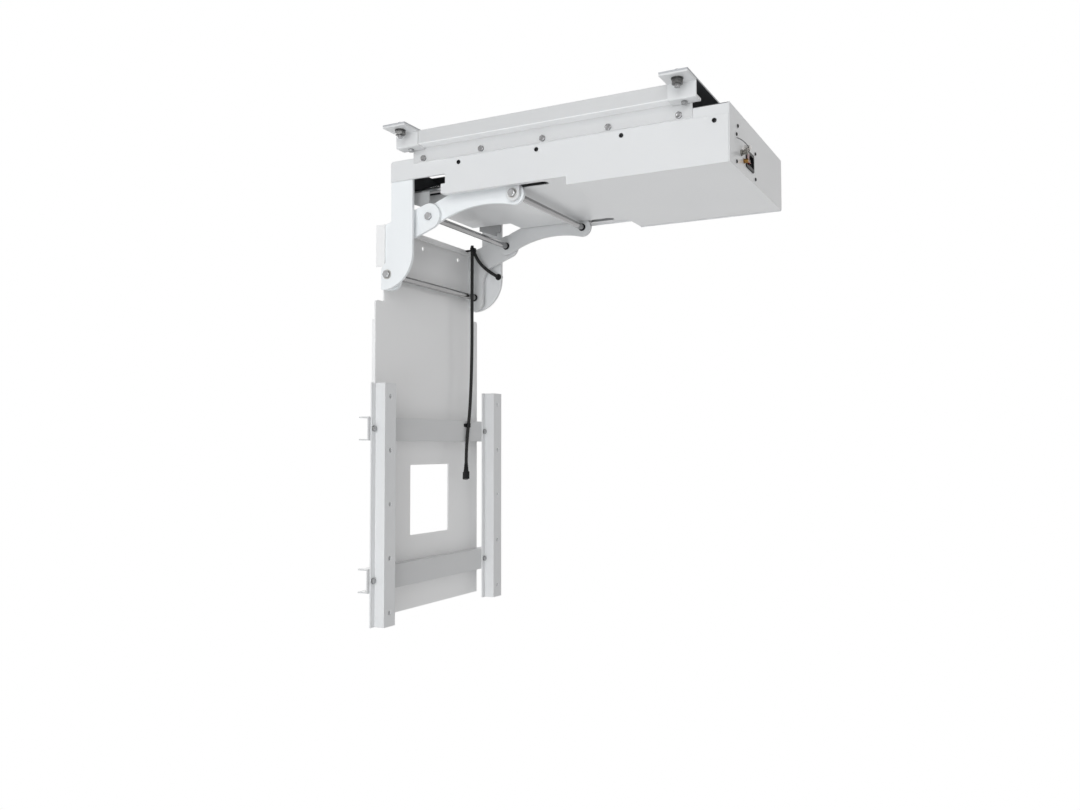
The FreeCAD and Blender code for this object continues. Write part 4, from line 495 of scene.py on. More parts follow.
# Roof sheet and crossmembers: plain sheet in dull dark primer, seen only through the openings.
# Its near-black tone is painted shade, the shade inside the closed box. They are bolted across
# between the frame sides before the covers go on.
inner_primer_painted_shade = paint("inner_primer_painted_shade", PRIMER_DARK_PAINTED_SHADE, PRIMER_DUST_AND_SHADE, (0.55, 0.8), (400.0, 0.3), 12.0)
dress(inner_primer_painted_shade, "roof_panel", "rear_crossmember", "middle_crossmember", "front_crossmember")

# Cover screws: black-oxide button heads with a hexagon socket, four a side, which hold the side
# covers to the frame.
COVER_X, COVER_Z = 0.1795, -0.066
COVER_FIRST, COVER_PITCH, COVER_COUNT = -0.312, 0.161, 4
COVER_SPOTS = [(COVER_FIRST + k * COVER_PITCH, COVER_Z) for k in range(COVER_COUNT)]
COVER_SHANK, COVER_LENGTH, COVER_TIP = 0.002, 0.006, 0.0002
BUTTON_RADIUS, BUTTON_HEIGHT, BUTTON_RIM, BUTTON_FLAT = 0.004, 0.0022, 0.0003, 0.0019
BUTTON_ANGLES = (0.3, 0.65, 1.0, 1.3)
SOCKET_FLATS, SOCKET_DEPTH, SOCKET_FLARE = 0.0027, 0.0014, 1.08
FINE_CUT = 0.0001


def shank(radius, length, narrow, taper=0.0004):
    """Rings of a screw's plain shank, from its cut tip up to the head."""
    return [(radius - narrow, -length), (radius, taper - length), (radius, 0.0)]


black_oxide = metal("black_oxide", (0.012, 0.012, 0.013, 1), (0.035, 0.035, 0.037, 1), (0.15, 0.3))
socket = hexagon(SOCKET_FLATS)
cover_screws = set_out("cover_button_screws", turned(
    shank(COVER_SHANK, COVER_LENGTH, COVER_TIP)
    + [(BUTTON_RADIUS - FINE_CUT, 0.0), (BUTTON_RADIUS, BUTTON_RIM)]
    + dome(BUTTON_FLAT, BUTTON_RADIUS, BUTTON_RIM, BUTTON_HEIGHT, BUTTON_ANGLES)
    + [(BUTTON_FLAT, BUTTON_HEIGHT),
       lambda angle: (socket(angle) * SOCKET_FLARE, BUTTON_HEIGHT),
       lambda angle: (socket(angle), BUTTON_HEIGHT - FINE_CUT),
       lambda angle: (socket(angle), BUTTON_HEIGHT - SOCKET_DEPTH)]),
    both_sides(COVER_X, *COVER_SPOTS), black_oxide, "frame", 5)
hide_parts("cover_screws")

# Port screws: small black pan heads with a cross recess that hold the connector plate behind the
# rear face, and one spare above them.
PORT_FACE = -0.3365
PORT_SPOTS = ((-0.138, -0.080), (-0.019, -0.080), (-0.138, -0.125), (-0.019, -0.125),
              (-0.130, -0.064))
PORT_SEATS = [((x, PORT_FACE, z), (0, -1, 0)) for x, z in PORT_SPOTS]
PORT_SHANK, PORT_LENGTH, PORT_TIP = 0.0015, 0.005, 0.0003
PAN_HEIGHT = 0.0018
PAN_HEAD = [(0.003, 0.0), (0.003, 0.0009), (0.0027, 0.0014), (0.0021, PAN_HEIGHT)]
CROSS_LENGTH, CROSS_WIDTH, CROSS_DEPTH = 0.0017, 0.0004, 0.0011
CROSS_FLARE, CROSS_POINT, NO_ZERO = 1.05, 0.45, 1e-6


def cross(scale, height):
    """A ring in the shape of a cross recess."""
    def at(angle):
        c, s = abs(math.cos(angle)) + NO_ZERO, abs(math.sin(angle)) + NO_ZERO
        along = min(CROSS_LENGTH / c, CROSS_WIDTH / s)
        across = min(CROSS_LENGTH / s, CROSS_WIDTH / c)
        return max(along, across) * scale, height
    return at


port_screws = set_out("port_pan_screws", turned(
    shank(PORT_SHANK, PORT_LENGTH, PORT_TIP) + PAN_HEAD
    + [cross(CROSS_FLARE, PAN_HEIGHT), cross(1.0, PAN_HEIGHT - FINE_CUT),
       cross(CROSS_POINT, PAN_HEIGHT - CROSS_DEPTH)]), PORT_SEATS, black_oxide, "frame", 6)
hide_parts("port_screws")

# Power inlet: a black moulded shell snapped into the connector plate, with a socket for the
# mains lead and an opening for the switch. Three plated blades stand in the socket.
INLET_X, INLET_Z = -0.057, -0.103
INLET_FACE, INLET_BACK = -0.3385, -0.3125
FLANGE_WIDTH, FLANGE_HEIGHT, FLANGE_THICKNESS = 0.049, 0.031, 0.002
FLANGE_ROUND, FLANGE_CUT = 0.0035, 0.0006
CASING_STEP, CASING_ROUND = 0.0023, 0.0015
SOCKET_X, SOCKET_WIDTH, SOCKET_HEIGHT = -0.0495, 0.027, 0.019
SOCKET_CORNER, SOCKET_FLOOR = 0.0042, -0.3215
SWITCH_X, SWITCH_WIDTH, SWITCH_HEIGHT, SWITCH_FLOOR = -0.0715, 0.0132, 0.0208, -0.3275
SWITCH_CORNER, SWITCH_STEPS = 0.0008, 2
BLADE_SPOTS = ((-0.007, -0.003), (0.0, 0.0025), (0.007, -0.003))
BLADE_HALF_X, BLADE_HALF_Z, BLADE_CHAMFER = 0.001, 0.0025, 0.0005
BLADE_FRONT, BLADE_BACK = -0.3355, -0.3205
FINE_PATCHES = 320.0


def rounded_box(x, z, width, height, corner, steps=5):
    """A rounded rectangle's points in the XZ plane."""
    points = []
    for cx, cz, start in ((1, 1, 0), (-1, 1, 90), (-1, -1, 180), (1, -1, 270)):
        for k in range(steps + 1):
            angle = math.radians(start + 90 * k / steps)
            points.append((x + cx * (width / 2 - corner) + corner * math.cos(angle),
                           z + cz * (height / 2 - corner) + corner * math.sin(angle)))
    return points


def add_loop(mesh, points, y):
    """The edges of a closed outline at one depth."""
    corners = [mesh.verts.new((x, y, z)) for x, z in points]
    return [mesh.edges.new((corners[i], corners[(i + 1) % len(corners)]))
            for i in range(len(corners))]


def wall(mesh, first, second):
    """The wall between two outlines of as many points."""
    for a, b in zip(first, second):
        mesh.faces.new((a.verts[0], a.verts[1], b.verts[1], b.verts[0]))


moulded = paint("black_moulding", (0.01, 0.01, 0.011, 1), (0.014, 0.014, 0.015, 1), (0.3, 0.45),
                (1200.0, 0.3), shine=0.12)
shell = bmesh.new()
flange = rounded_box(INLET_X, INLET_Z, FLANGE_WIDTH, FLANGE_HEIGHT, FLANGE_ROUND)
face_edge = rounded_box(INLET_X, INLET_Z, FLANGE_WIDTH - 2 * FLANGE_CUT,
                        FLANGE_HEIGHT - 2 * FLANGE_CUT, FLANGE_ROUND - FLANGE_CUT)
casing = rounded_box(INLET_X, INLET_Z, FLANGE_WIDTH - 2 * CASING_STEP,
                     FLANGE_HEIGHT - 2 * CASING_STEP, CASING_ROUND)
half_w, half_h = SOCKET_WIDTH / 2, SOCKET_HEIGHT / 2
socket_outline = [(SOCKET_X + x, INLET_Z + z) for x, z in (
    (half_w, -half_h), (half_w, half_h - SOCKET_CORNER), (half_w - SOCKET_CORNER, half_h),
    (-half_w + SOCKET_CORNER, half_h), (-half_w, half_h - SOCKET_CORNER), (-half_w, -half_h))]
switch_outline = rounded_box(SWITCH_X, INLET_Z, SWITCH_WIDTH, SWITCH_HEIGHT, SWITCH_CORNER,
                             SWITCH_STEPS)
front, rim, shoulder, neck, back = [add_loop(shell, outline, depth) for outline, depth in (
    (face_edge, INLET_FACE), (flange, INLET_FACE + FLANGE_CUT),
    (flange, INLET_FACE + FLANGE_THICKNESS), (casing, INLET_FACE + FLANGE_THICKNESS),
    (casing, INLET_BACK))]
socket_mouth, socket_end = [add_loop(shell, socket_outline, y) for y in (INLET_FACE, SOCKET_FLOOR)]
switch_mouth, switch_end = [add_loop(shell, switch_outline, y) for y in (INLET_FACE, SWITCH_FLOOR)]
for first, second in ((front, rim), (rim, shoulder), (shoulder, neck), (neck, back),
                      (socket_mouth, socket_end), (switch_mouth, switch_end)):
    wall(shell, first, second)
bmesh.ops.triangle_fill(shell, edges=front + socket_mouth + switch_mouth, use_beauty=True)
for end in (back, socket_end, switch_end):
    shell.faces.new([edge.verts[0] for edge in end])
bmesh.ops.recalc_face_normals(shell, faces=shell.faces)
inlet = mesh_piece("inlet_shell", [], [])
shell.to_mesh(inlet.data)
shell.free()
inlet.data.materials.append(moulded)
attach(inlet, "frame")
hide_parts("power_inlet")


def loft(*outlines):
    """A closed form through outlines that have as many points each."""
    count, verts = len(outlines[0]), [point for outline in outlines for point in outline]
    last = len(verts) - count
    faces = [(low + k, low + (k + 1) % count, low + (k + 1) % count + count, low + k + count)
             for low in range(0, last, count) for k in range(count)]
    return verts, faces + [tuple(range(count - 1, -1, -1)), tuple(range(last, last + count))]


def block(low, high, chamfer):
    """A block between two corners whose four edges along Y are cut."""
    x0, y0, z0 = low
    x1, y1, z1 = high
    c = chamfer
    outline = [(x0 + c, z0), (x1 - c, z0), (x1, z0 + c), (x1, z1 - c), (x1 - c, z1), (x0 + c, z1),
               (x0, z1 - c), (x0, z0 + c)]
    return loft(*[[(x, y, z) for x, z in outline] for y in (y0, y1)])


nickel = metal("nickel_plate", (0.40, 0.39, 0.36, 1), (0.12, 0.115, 0.10, 1), (0.12, 0.28),
               patch_scale=FINE_PATCHES)
blades = mesh_piece("inlet_blades", *gather(*[
    block((SOCKET_X + x - BLADE_HALF_X, BLADE_FRONT, INLET_Z + z - BLADE_HALF_Z),
          (SOCKET_X + x + BLADE_HALF_X, BLADE_BACK, INLET_Z + z + BLADE_HALF_Z), BLADE_CHAMFER)
    for x, z in BLADE_SPOTS]))
blades.data.materials.append(nickel)
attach(blades, "frame")

# Rocker switch: a glossy red moulded paddle with a hollowed face that tilts on a small axle in
# the inlet's opening.
ROCKER_Y, ROCKER_TILT = -0.3315, math.radians(-8)
ROCKER_REACH, ROCKER_HOLLOW, ROCKER_HALF, ROCKER_STEPS = 0.009, 0.0019, 0.009, 8
ROCKER_CORNER, ROCKER_CORE, MOULDED_CORNER = (0.0003, 0.0001), 0.003, 40
ROCKER_BACK = [(-0.0078, -0.00895), (-0.001, -0.0082), (0.003, -0.003), (0.003, 0.003),
               (-0.001, 0.0082), (-0.0078, 0.00895)]
ROCKER_LAYERS = [(-0.006, 0.93), (-0.0058, 0.975), (-0.0054, 1.0), (0.0054, 1.0),
                 (0.0058, 0.975), (0.006, 0.93)]
ROCKER_AXLE_RADIUS, ROCKER_AXLE_LENGTH, ROCKER_AXLE_SIDES = 0.0015, 0.0128, 16
rocker_red = paint("rocker_red", (0.24, 0.008, 0.006, 1), (0.18, 0.006, 0.004, 1), (0.16, 0.3),
                   (900.0, 0.1))
hollow_face = [(-ROCKER_REACH + ROCKER_HOLLOW * (1 - (k / ROCKER_STEPS) ** 2),
                -ROCKER_HALF * k / ROCKER_STEPS) for k in range(1 - ROCKER_STEPS, ROCKER_STEPS)]
corner_y, corner_z = ROCKER_CORNER[0] - ROCKER_REACH, ROCKER_HALF - ROCKER_CORNER[1]
profile = hollow_face + [(corner_y, -corner_z)] + ROCKER_BACK + [(corner_y, corner_z)]


def tilted(x, y, z):
    """A point of the rocker, tipped about its axle and put in its place."""
    return (SWITCH_X + x, ROCKER_Y + y * math.cos(ROCKER_TILT) - z * math.sin(ROCKER_TILT),
            INLET_Z + y * math.sin(ROCKER_TILT) + z * math.cos(ROCKER_TILT))


paddle_shape = loft(*[[tilted(x, (y + ROCKER_CORE) * scale - ROCKER_CORE, z * scale)
                       for y, z in profile] for x, scale in ROCKER_LAYERS])
axle_verts, axle_faces = turned([(ROCKER_AXLE_RADIUS, -ROCKER_AXLE_LENGTH / 2),
                                 (ROCKER_AXLE_RADIUS, ROCKER_AXLE_LENGTH / 2)], ROCKER_AXLE_SIDES)
axle_verts = [(SWITCH_X + z, ROCKER_Y + y, INLET_Z - x) for x, y, z in axle_verts]
rocker = mesh_piece("rocker_paddle", *gather(paddle_shape, (axle_verts, axle_faces)))
paddle = bmesh.new()
paddle.from_mesh(rocker.data)
bmesh.ops.recalc_face_normals(paddle, faces=paddle.faces)
paddle.to_mesh(rocker.data)
paddle.free()
rocker.data.shade_smooth()
rocker.data.set_sharp_from_angle(angle=math.radians(MOULDED_CORNER))
rocker.data.materials.append(rocker_red)
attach(rocker, "rocker")
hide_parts("rocker_switch")

# Jacks beside the inlet: a threaded coaxial jack and a knurled aerial cap, both nickel plated
# brass, and a gilt signal jack. Each is held by a nut or collar on the plate.
COAX_SPOT, AERIAL_SPOT, SIGNAL_SPOT = (-0.110, -0.103), (-0.0885, -0.090), (-0.093, -0.1125)
JACK_RADIUS, JACK_LENGTH, JACK_BEHIND, JACK_STEP = 0.004, 0.012, -0.016, 0.0006
JACK_FLATS, JACK_NUT, JACK_PITCH, JACK_THREAD_DEPTH = 0.010, 0.003, 0.001, 0.0005
JACK_BORE, JACK_BORE_FLOOR, JACK_EDGE, JACK_TAPER = 0.0022, 0.004, 0.0003, 0.0004
KNURL_RADIUS, KNURL_COUNT, KNURL_DEPTH, KNURL_SIDES = 0.0048, 24, 0.0003, 96
KNURL_LOW, KNURL_HIGH, CAP_SHOULDER, CAP_TOP, CAP_RADIUS = 0.004, 0.0092, 0.0096, 0.012, 0.0042
CAP_ANGLES = (0.3, 0.6, 0.9, 1.2, 1.45)
SIGNAL_PROFILE = [(0.0035, -0.010), (0.0035, 0.0), (0.0042, 0.0), (0.0042, 0.0013),
                  (0.0040, 0.0015), (0.0035, 0.0015), (0.0035, 0.0077), (0.0032, 0.008),
                  (0.0027, 0.008), (0.0026, 0.0068)]
INSULATOR_PROFILE = [(0.0026, 0.0067), (0.0026, 0.0074), (0.0018, 0.0075), (0.0016, 0.0072),
                     (0.0016, 0.003)]


def jack(name, spot, rings, finish, segments=48):
    """A turned jack that points out of the rear face."""
    piece = set_out(name, turned(rings, segments), [((spot[0], PORT_FACE, spot[1]), (0, -1, 0))],
                    finish, "frame", 7)
    return piece


def knurl(height):
    """A ring of straight knurling."""
    return lambda angle: (KNURL_RADIUS - KNURL_DEPTH * (0.5 + 0.5 * math.cos(KNURL_COUNT * angle)),
                          height)


body_and_nut = ([(JACK_RADIUS, JACK_BEHIND), (JACK_RADIUS, 0.0)]
                + hex_rings(0.0, JACK_NUT, JACK_FLATS, False))
coax = jack("coaxial_jack", COAX_SPOT, body_and_nut
            + [(JACK_RADIUS - JACK_THREAD_DEPTH, JACK_NUT)]
            + thread(JACK_NUT + JACK_EDGE, JACK_LENGTH - JACK_TAPER, JACK_RADIUS, JACK_PITCH,
                     JACK_THREAD_DEPTH)
            + [(JACK_RADIUS - JACK_STEP, JACK_LENGTH), (JACK_BORE + JACK_EDGE, JACK_LENGTH),
               (JACK_BORE, JACK_LENGTH - JACK_EDGE), (JACK_BORE, JACK_BORE_FLOOR)], nickel)
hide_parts("antenna_jacks")
bright_nickel = metal("bright_nickel", (0.74, 0.73, 0.71, 1), (0.30, 0.29, 0.28, 1), (0.06, 0.16),
                      patch_scale=OIL_PATCHES)
jack("aerial_cap", AERIAL_SPOT, body_and_nut
     + [(JACK_RADIUS, JACK_NUT), (JACK_RADIUS, JACK_NUT + JACK_STEP),
        (KNURL_RADIUS - JACK_STEP, JACK_NUT + JACK_STEP), knurl(KNURL_LOW), knurl(KNURL_HIGH),
        (KNURL_RADIUS - JACK_STEP, CAP_SHOULDER)]
     + dome(0.0, CAP_RADIUS, CAP_SHOULDER, CAP_TOP, CAP_ANGLES), bright_nickel, KNURL_SIDES)
gilt = metal("gilt_brass", (0.46, 0.25, 0.07, 1), (0.16, 0.07, 0.02, 1), (0.12, 0.26),
             patch_scale=FINE_PATCHES)
jack("signal_jack", SIGNAL_SPOT, SIGNAL_PROFILE, gilt)
pale_insulator = paint("pale_insulator", (0.8, 0.78, 0.72, 1), (0.72, 0.7, 0.64, 1), (0.35, 0.5),
                       (900.0, 0.2), 200.0)
jack("jack_insulator", SIGNAL_SPOT, INSULATOR_PROFILE, pale_insulator)
dress(white_coat, "connector_plate")

# Aerial wire: a thin grey sheathed wire that comes out beside the connector plate and is clamped
# in the aerial cap's side, in one easy bend.
WIRE_DIAMETER, WIRE_LENGTH = 0.0016, 0.046
WIRE_START = (-0.138, -0.33715, -0.086)
WIRE_STEPS = ((0.0, 0.0, 0.0), (0.004, -0.0026, -0.0003), (0.012, -0.0050, -0.0009),
              (0.022, -0.0066, -0.0018), (0.032, -0.0072, -0.0025))
WIRE_END = (-0.0934, -0.3445, -0.089)
CORD_ORDER, CORD_STEPS, CORD_ROUNDNESS = 3, 12, 6


def smooth_line(name, points, diameter):
    """A cord's curve: one open NURBS spline through its route's points, with a round section."""
    curve = bpy.data.curves.new(name, "CURVE")
    curve.dimensions = "3D"
    spline = curve.splines.new("NURBS")
    spline.points.add(len(points) - 1)
    for point, place in zip(spline.points, points):
        point.co = (*place, 1.0)
    spline.order_u = CORD_ORDER
    spline.use_endpoint_u = True
    curve.resolution_u = CORD_STEPS
    curve.bevel_depth = diameter / 2
    curve.bevel_resolution = CORD_ROUNDNESS
    curve.use_fill_caps = True
    return stand(name, curve)


wire_grey = paint("wire_grey", (0.2, 0.2, 0.21, 1), (0.15, 0.15, 0.155, 1), (0.4, 0.55),
                  (900.0, 0.2))
wire_route = [tuple(a + b for a, b in zip(WIRE_START, step)) for step in WIRE_STEPS] + [WIRE_END]
wire = smooth_line("aerial_wire_line", wire_route, WIRE_DIAMETER)
wire.data.materials.append(wire_grey)
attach(wire, "frame")
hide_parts("aerial_wire")

# Guide rods, linkage shafts and the ram: centreless-ground steel bar, bright, with fine grinding
# rings round it and a thin film of grease. The shafts and pins across the mount get a darker tone
# of the same steel than the rods and ram: painted shade.
GRINDING, GRINDING_PATCHES, GRINDING_STRETCH = (30.0, 0.03), 14.0, 60.0
ground_x_painted_shade = metal("ground_shaft_painted_shade", (0.38, 0.38, 0.39, 1), (0.27, 0.265, 0.26, 1), (0.1, 0.2),
                 GRINDING, GRINDING_PATCHES, (GRINDING_STRETCH, 1.0, 1.0))
ground_y = metal("ground_rod", (0.66, 0.66, 0.67, 1), (0.58, 0.58, 0.58, 1), (0.08, 0.18),
                 GRINDING, GRINDING_PATCHES, (1.0, GRINDING_STRETCH, 1.0))
dress(ground_x_painted_shade, "carriage_shaft", "knuckle_shaft", "hip_shaft", "ram_pin", "actuator_pin")
dress(ground_y, "guide_rods", "actuator_ram")

# Front roof strips: dark sheet between the frame sides that closes the top from the roof to the
# last crossmember, but for a cable slot that shows as a light slit. Their near-black primer is
# painted shade, the shade inside the box's open end.
STRIP_SPANS = ((-0.165, -0.069), (-0.053, 0.165))
STRIP_START, STRIP_END, STRIP_LOW, STRIP_HIGH, STRIP_CUT = 0.2668, 0.3155, -0.047, -0.0455, 0.0002
roof_strip = mesh_piece("roof_front_strips", *gather(*[
    block((left, STRIP_START, STRIP_LOW), (right, STRIP_END, STRIP_HIGH), STRIP_CUT)
    for left, right in STRIP_SPANS]))
roof_strip.data.materials.append(inner_primer_painted_shade)
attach(roof_strip, "frame")

# Guide cheeks: two white-painted 2 mm plates inside the open end, which stiffen the crossmember
# beside the guide rods. Their grey tone is painted shade; the left one is the grey wall seen low
# in the side slot.
CHEEK_X, CHEEK_THICKNESS = 0.138, 0.002
CHEEK_OUTLINE = [(0.262, -0.099), (0.262, -0.122), (0.271, -0.122), (0.2725, -0.130),
                 (0.280, -0.1275), (0.290, -0.1235), (0.3155, -0.115), (0.3155, -0.085),
                 (0.300, -0.085), (0.296, -0.099)]
cheek_painted_shade = paint("cheek_painted_shade", (0.46, 0.465, 0.47, 1), (0.40, 0.405, 0.41, 1), (0.4, 0.55),
                   (400.0, 0.3))
for side, centre in (("left", -CHEEK_X), ("right", CHEEK_X)):
    cheek = mesh_piece("guide_cheek_" + side, *loft(*[
        [(centre + half * CHEEK_THICKNESS, y, z) for y, z in CHEEK_OUTLINE]
        for half in (0.5, -0.5)]))
    cheek.data.materials.append(cheek_painted_shade)
    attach(cheek, "frame")

# Carriage: plate and lugs in the white coat, with cast bearing blocks under the plate that slide
# on the guide rods.
cast_alloy = metal("cast_alloy", (0.5, 0.5, 0.51, 1), (0.38, 0.38, 0.38, 1), (0.4, 0.6),
                   (500.0, 0.4))
dress(white_coat, "carriage_plate", "carriage_lugs", "ram_bracket", "actuator_bracket")
dress(cast_alloy, "bearing_blocks")

# Actuator: a black-painted motor on a die-cast gearbox, with an extruded tube that guides the
# ram. It is pinned to its bracket at one end and to the carriage's bracket at the other.
dress(cast_alloy, "actuator_gearbox", "actuator_tube")
motor_paint = paint("motor_paint", (0.03, 0.03, 0.032, 1), (0.05, 0.05, 0.05, 1), (0.35, 0.5),
                    (500.0, 0.3))
dress(motor_paint, "actuator_motor")

# Bushes: sintered bronze rings with a flange, pressed into the plates round the shafts. They are
# tinned, so their flanges look grey.
tinned_bronze = metal("tinned_bronze", (0.76, 0.75, 0.73, 1), (0.62, 0.61, 0.59, 1), (0.25, 0.42))
dress(tinned_bronze, "carriage_bushes", "hip_bushes")

# Linkage: drop plates, claws and curved arms of 6 mm plate, and the folded column and rails. All
# are powder coated in one white. The left plates and the column are painted whiter, as painted
# light; the right claw, right arm and cross rails are greyer, as painted shade.
plate_coat_painted_light = powder_coat("white_plate_painted_light", (0.92, 0.945, 0.96, 1.0), (0.89, 0.915, 0.93, 1.0))
column_coat_painted_light = powder_coat("white_column_painted_light", (0.93, 0.93, 0.93, 1.0), (0.90, 0.90, 0.90, 1.0),
                          (0.26, 0.32), 0.05, 2.0, 0.15)
dress(plate_coat_painted_light, "drop_plate_left", "claw_left", "arm_left")
dress(white_coat, "drop_plate_right", "uprights")
dress(rail_coat_painted_shade, "claw_right", "arm_right", "cross_rails")
dress(column_coat_painted_light, "column")

# Pivot bolts: M8 hexagon bolts screwed into the shaft ends at the carriage, the knuckle and the
# hip, with plain washers and spacers between the plates.
M8_HEAD, M8_FLATS, M8_SHANK, M8_LENGTH, M8_TIP = 0.0053, 0.013, 0.004, 0.008, 0.0005
CARRIAGE_PIVOT, KNUCKLE_PIVOT, HIP_PIVOT = (0.070, -0.131), (0.2515, -0.153), (0.3355, -0.259)
CARRIAGE_FACE, KNUCKLE_FACE, HIP_FACE = 0.1591, 0.157, 0.1741
pivot_shape = turned(shank(M8_SHANK, M8_LENGTH, M8_TIP, M8_TIP) + hex_head(M8_HEAD, M8_FLATS))
for name, seats, body, node, seed in (
        ("carriage_hex_bolts", both_sides(CARRIAGE_FACE, CARRIAGE_PIVOT), "arms",
         "carriage_bolts", 8),
        ("knuckle_hex_bolts", both_sides(KNUCKLE_FACE, KNUCKLE_PIVOT), "flip_frame",
         "knuckle_bolts", 9),
        ("hip_hex_bolts", both_sides(HIP_FACE, HIP_PIVOT), "flip_frame", "hip_bolts", 10)):
    bolts = set_out(name, pivot_shape, seats, zinc, body, seed)
    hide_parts(node)
dress(zinc, "carriage_washers", "hip_spacers")

# Shaft clips: black spring-steel rings that stand in a groove near each end of the three cross
# shafts and keep the plates from walking inwards.
CLIP_BORE, CLIP_RADIUS, CLIP_THICKNESS, CLIP_EDGE = 0.0060, 0.0078, 0.0012, 0.0002
ARM_CLIP_X, HIP_CLIP_X = 0.1415, 0.1480
clip_shape = washer(CLIP_BORE, CLIP_RADIUS, 0.0, CLIP_THICKNESS, CLIP_EDGE)
for name, body, seats, seed in (
        ("arm_shaft_clips", "arms",
         both_sides(ARM_CLIP_X, CARRIAGE_PIVOT) + both_sides(ARM_CLIP_X, KNUCKLE_PIVOT), 13),
        ("hip_shaft_clips", "flip_frame", both_sides(HIP_CLIP_X, HIP_PIVOT), 14)):
    clips = set_out(name, clip_shape, seats, black_oxide, body, seed)

# Upright bolts: zinc-plated M6 hexagon bolts with their nuts. They clamp the two uprights to the
# cross rails, two at each crossing.
UPRIGHT_FACE, UPRIGHT_GRIP = 0.327, 0.005
UPRIGHT_SEATS = [((x, UPRIGHT_FACE, z), (0, -1, 0)) for x in (-0.223, -0.177, 0.177, 0.223)
                 for z in (-0.555, -0.835)]
upright_bolts = set_out("upright_hex_bolts", turned(tail_and_nut(UPRIGHT_GRIP, M6_TAIL) + m6_head),
                        UPRIGHT_SEATS, zinc, "flip_frame", 11)
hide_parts("upright_bolts")

# Power supply and control board: a galvanised steel case and a green lacquered board, both fixed
# inside the pan.
galvanised = metal("galvanised", (0.55, 0.56, 0.57, 1), (0.42, 0.43, 0.44, 1), (0.3, 0.5))
board_green = paint("board_lacquer", (0.01, 0.09, 0.04, 1), (0.01, 0.06, 0.03, 1), (0.25, 0.4),
                    (700.0, 0.2), 60.0)
dress(galvanised, "power_supply")
dress(board_green, "control_board")

# Power lead: a 7 mm black PVC cord clipped along the column. It comes over the column's top edge,
# runs down inside the column and ends in its own socket between the uprights.
LEAD_DIAMETER, LEAD_LENGTH = 0.007, 0.478
LEAD_ROUTE = [(0.121, 0.3245, -0.149), (0.121, 0.3245, -0.199), (0.1204, 0.3243, -0.251),
              (0.121, 0.3245, -0.304), (0.1218, 0.3249, -0.357), (0.121, 0.3253, -0.410),
              (0.119, 0.3257, -0.463), (0.114, 0.3257, -0.515), (0.105, 0.3257, -0.564),
              (0.098, 0.3241, -0.596), (0.092, 0.3207, -0.624)]
PLUG_RADIUS, PLUG_GAP = 0.008, 0.0002
PLUG_HALF_WIDTH, PLUG_HALF_HEIGHT, PLUG_SQUARENESS = 0.0074, 0.0056, 5
PLUG_STATIONS = ((0.86, 0.018), (0.97, 0.0186), (1.0, 0.0196), (1.0, 0.0332), (0.94, 0.034))
BOOT_LENGTH, BOOT_RIBS, BOOT_FOOT, BOOT_NARROW, BOOT_FLARE = 0.018, 5, 0.0036, 0.0040, 0.0013
RIB_START, RIB_PROFILE = 0.1, ((-0.0004, 0.0), (0.0, 0.0003), (0.0001, 0.0020), (-0.0004, 0.0023))


def plug_section(scale, height):
    """A ring of the plug's body: a rectangle with well-rounded corners."""
    def at(angle):
        c, s = abs(math.cos(angle)), abs(math.sin(angle))
        reach = ((c / PLUG_HALF_WIDTH) ** PLUG_SQUARENESS
                 + (s / PLUG_HALF_HEIGHT) ** PLUG_SQUARENESS) ** (-1 / PLUG_SQUARENESS)
        return min(reach * scale, PLUG_RADIUS), height
    return at


cord_black = paint("cord_black", (0.008, 0.008, 0.008, 1), (0.015, 0.015, 0.015, 1),
                   (0.45, 0.6), (600.0, 0.2), shine=0.25)
boot = []
for k in range(BOOT_RIBS):
    foot = BOOT_LENGTH * (k + RIB_START) / BOOT_RIBS
    wide = BOOT_NARROW + BOOT_FLARE * k / (BOOT_RIBS - 1)
    boot += [(wide + out, foot + up) for out, up in RIB_PROFILE]
plug_shape = turned([(BOOT_FOOT, 0.0)] + boot
                    + [plug_section(scale, height) for scale, height in PLUG_STATIONS])
run = (Vector(LEAD_ROUTE[-1]) - Vector(LEAD_ROUTE[-2])).normalized()
plug = set_out("lead_socket", plug_shape, [(tuple(Vector(LEAD_ROUTE[-1]) + run * PLUG_GAP),
                                            tuple(run))], moulded, "flip_frame", 12, 0.0)
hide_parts("power_plug")
power_lead = smooth_line("power_lead_line", LEAD_ROUTE, LEAD_DIAMETER)
power_lead.data.materials.append(cord_black)
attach(power_lead, "flip_frame")
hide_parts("power_lead")

# Lead loop: the same cord from the grommet in the right drop plate round to the top clip. It
# bridges the flip hinge, between the frame and the flip frame.
LOOP_ROUTE = [(0.129, 0.324, -0.162), (0.1322, 0.3206, -0.1742), (0.1382, 0.3135, -0.1871),
              (0.146, 0.3035, -0.199), (0.1555, 0.2922, -0.2085), (0.1628, 0.2845, -0.214)]
loop_curve = smooth_line("lead_loop_line", LOOP_ROUTE, LEAD_DIAMETER)
tube = plain_mesh(loop_curve)
loop_curve.data.bevel_depth = 0.0
loop_path = [tuple(vertex.co) for vertex in plain_mesh(loop_curve).vertices]
bpy.data.objects.remove(loop_curve)
lead_loop = stand("lead_loop_tube", tube)
lead_loop.data.materials.clear()
lead_loop.data.materials.append(cord_black)
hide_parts("lead_loop")
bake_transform(lead_loop)

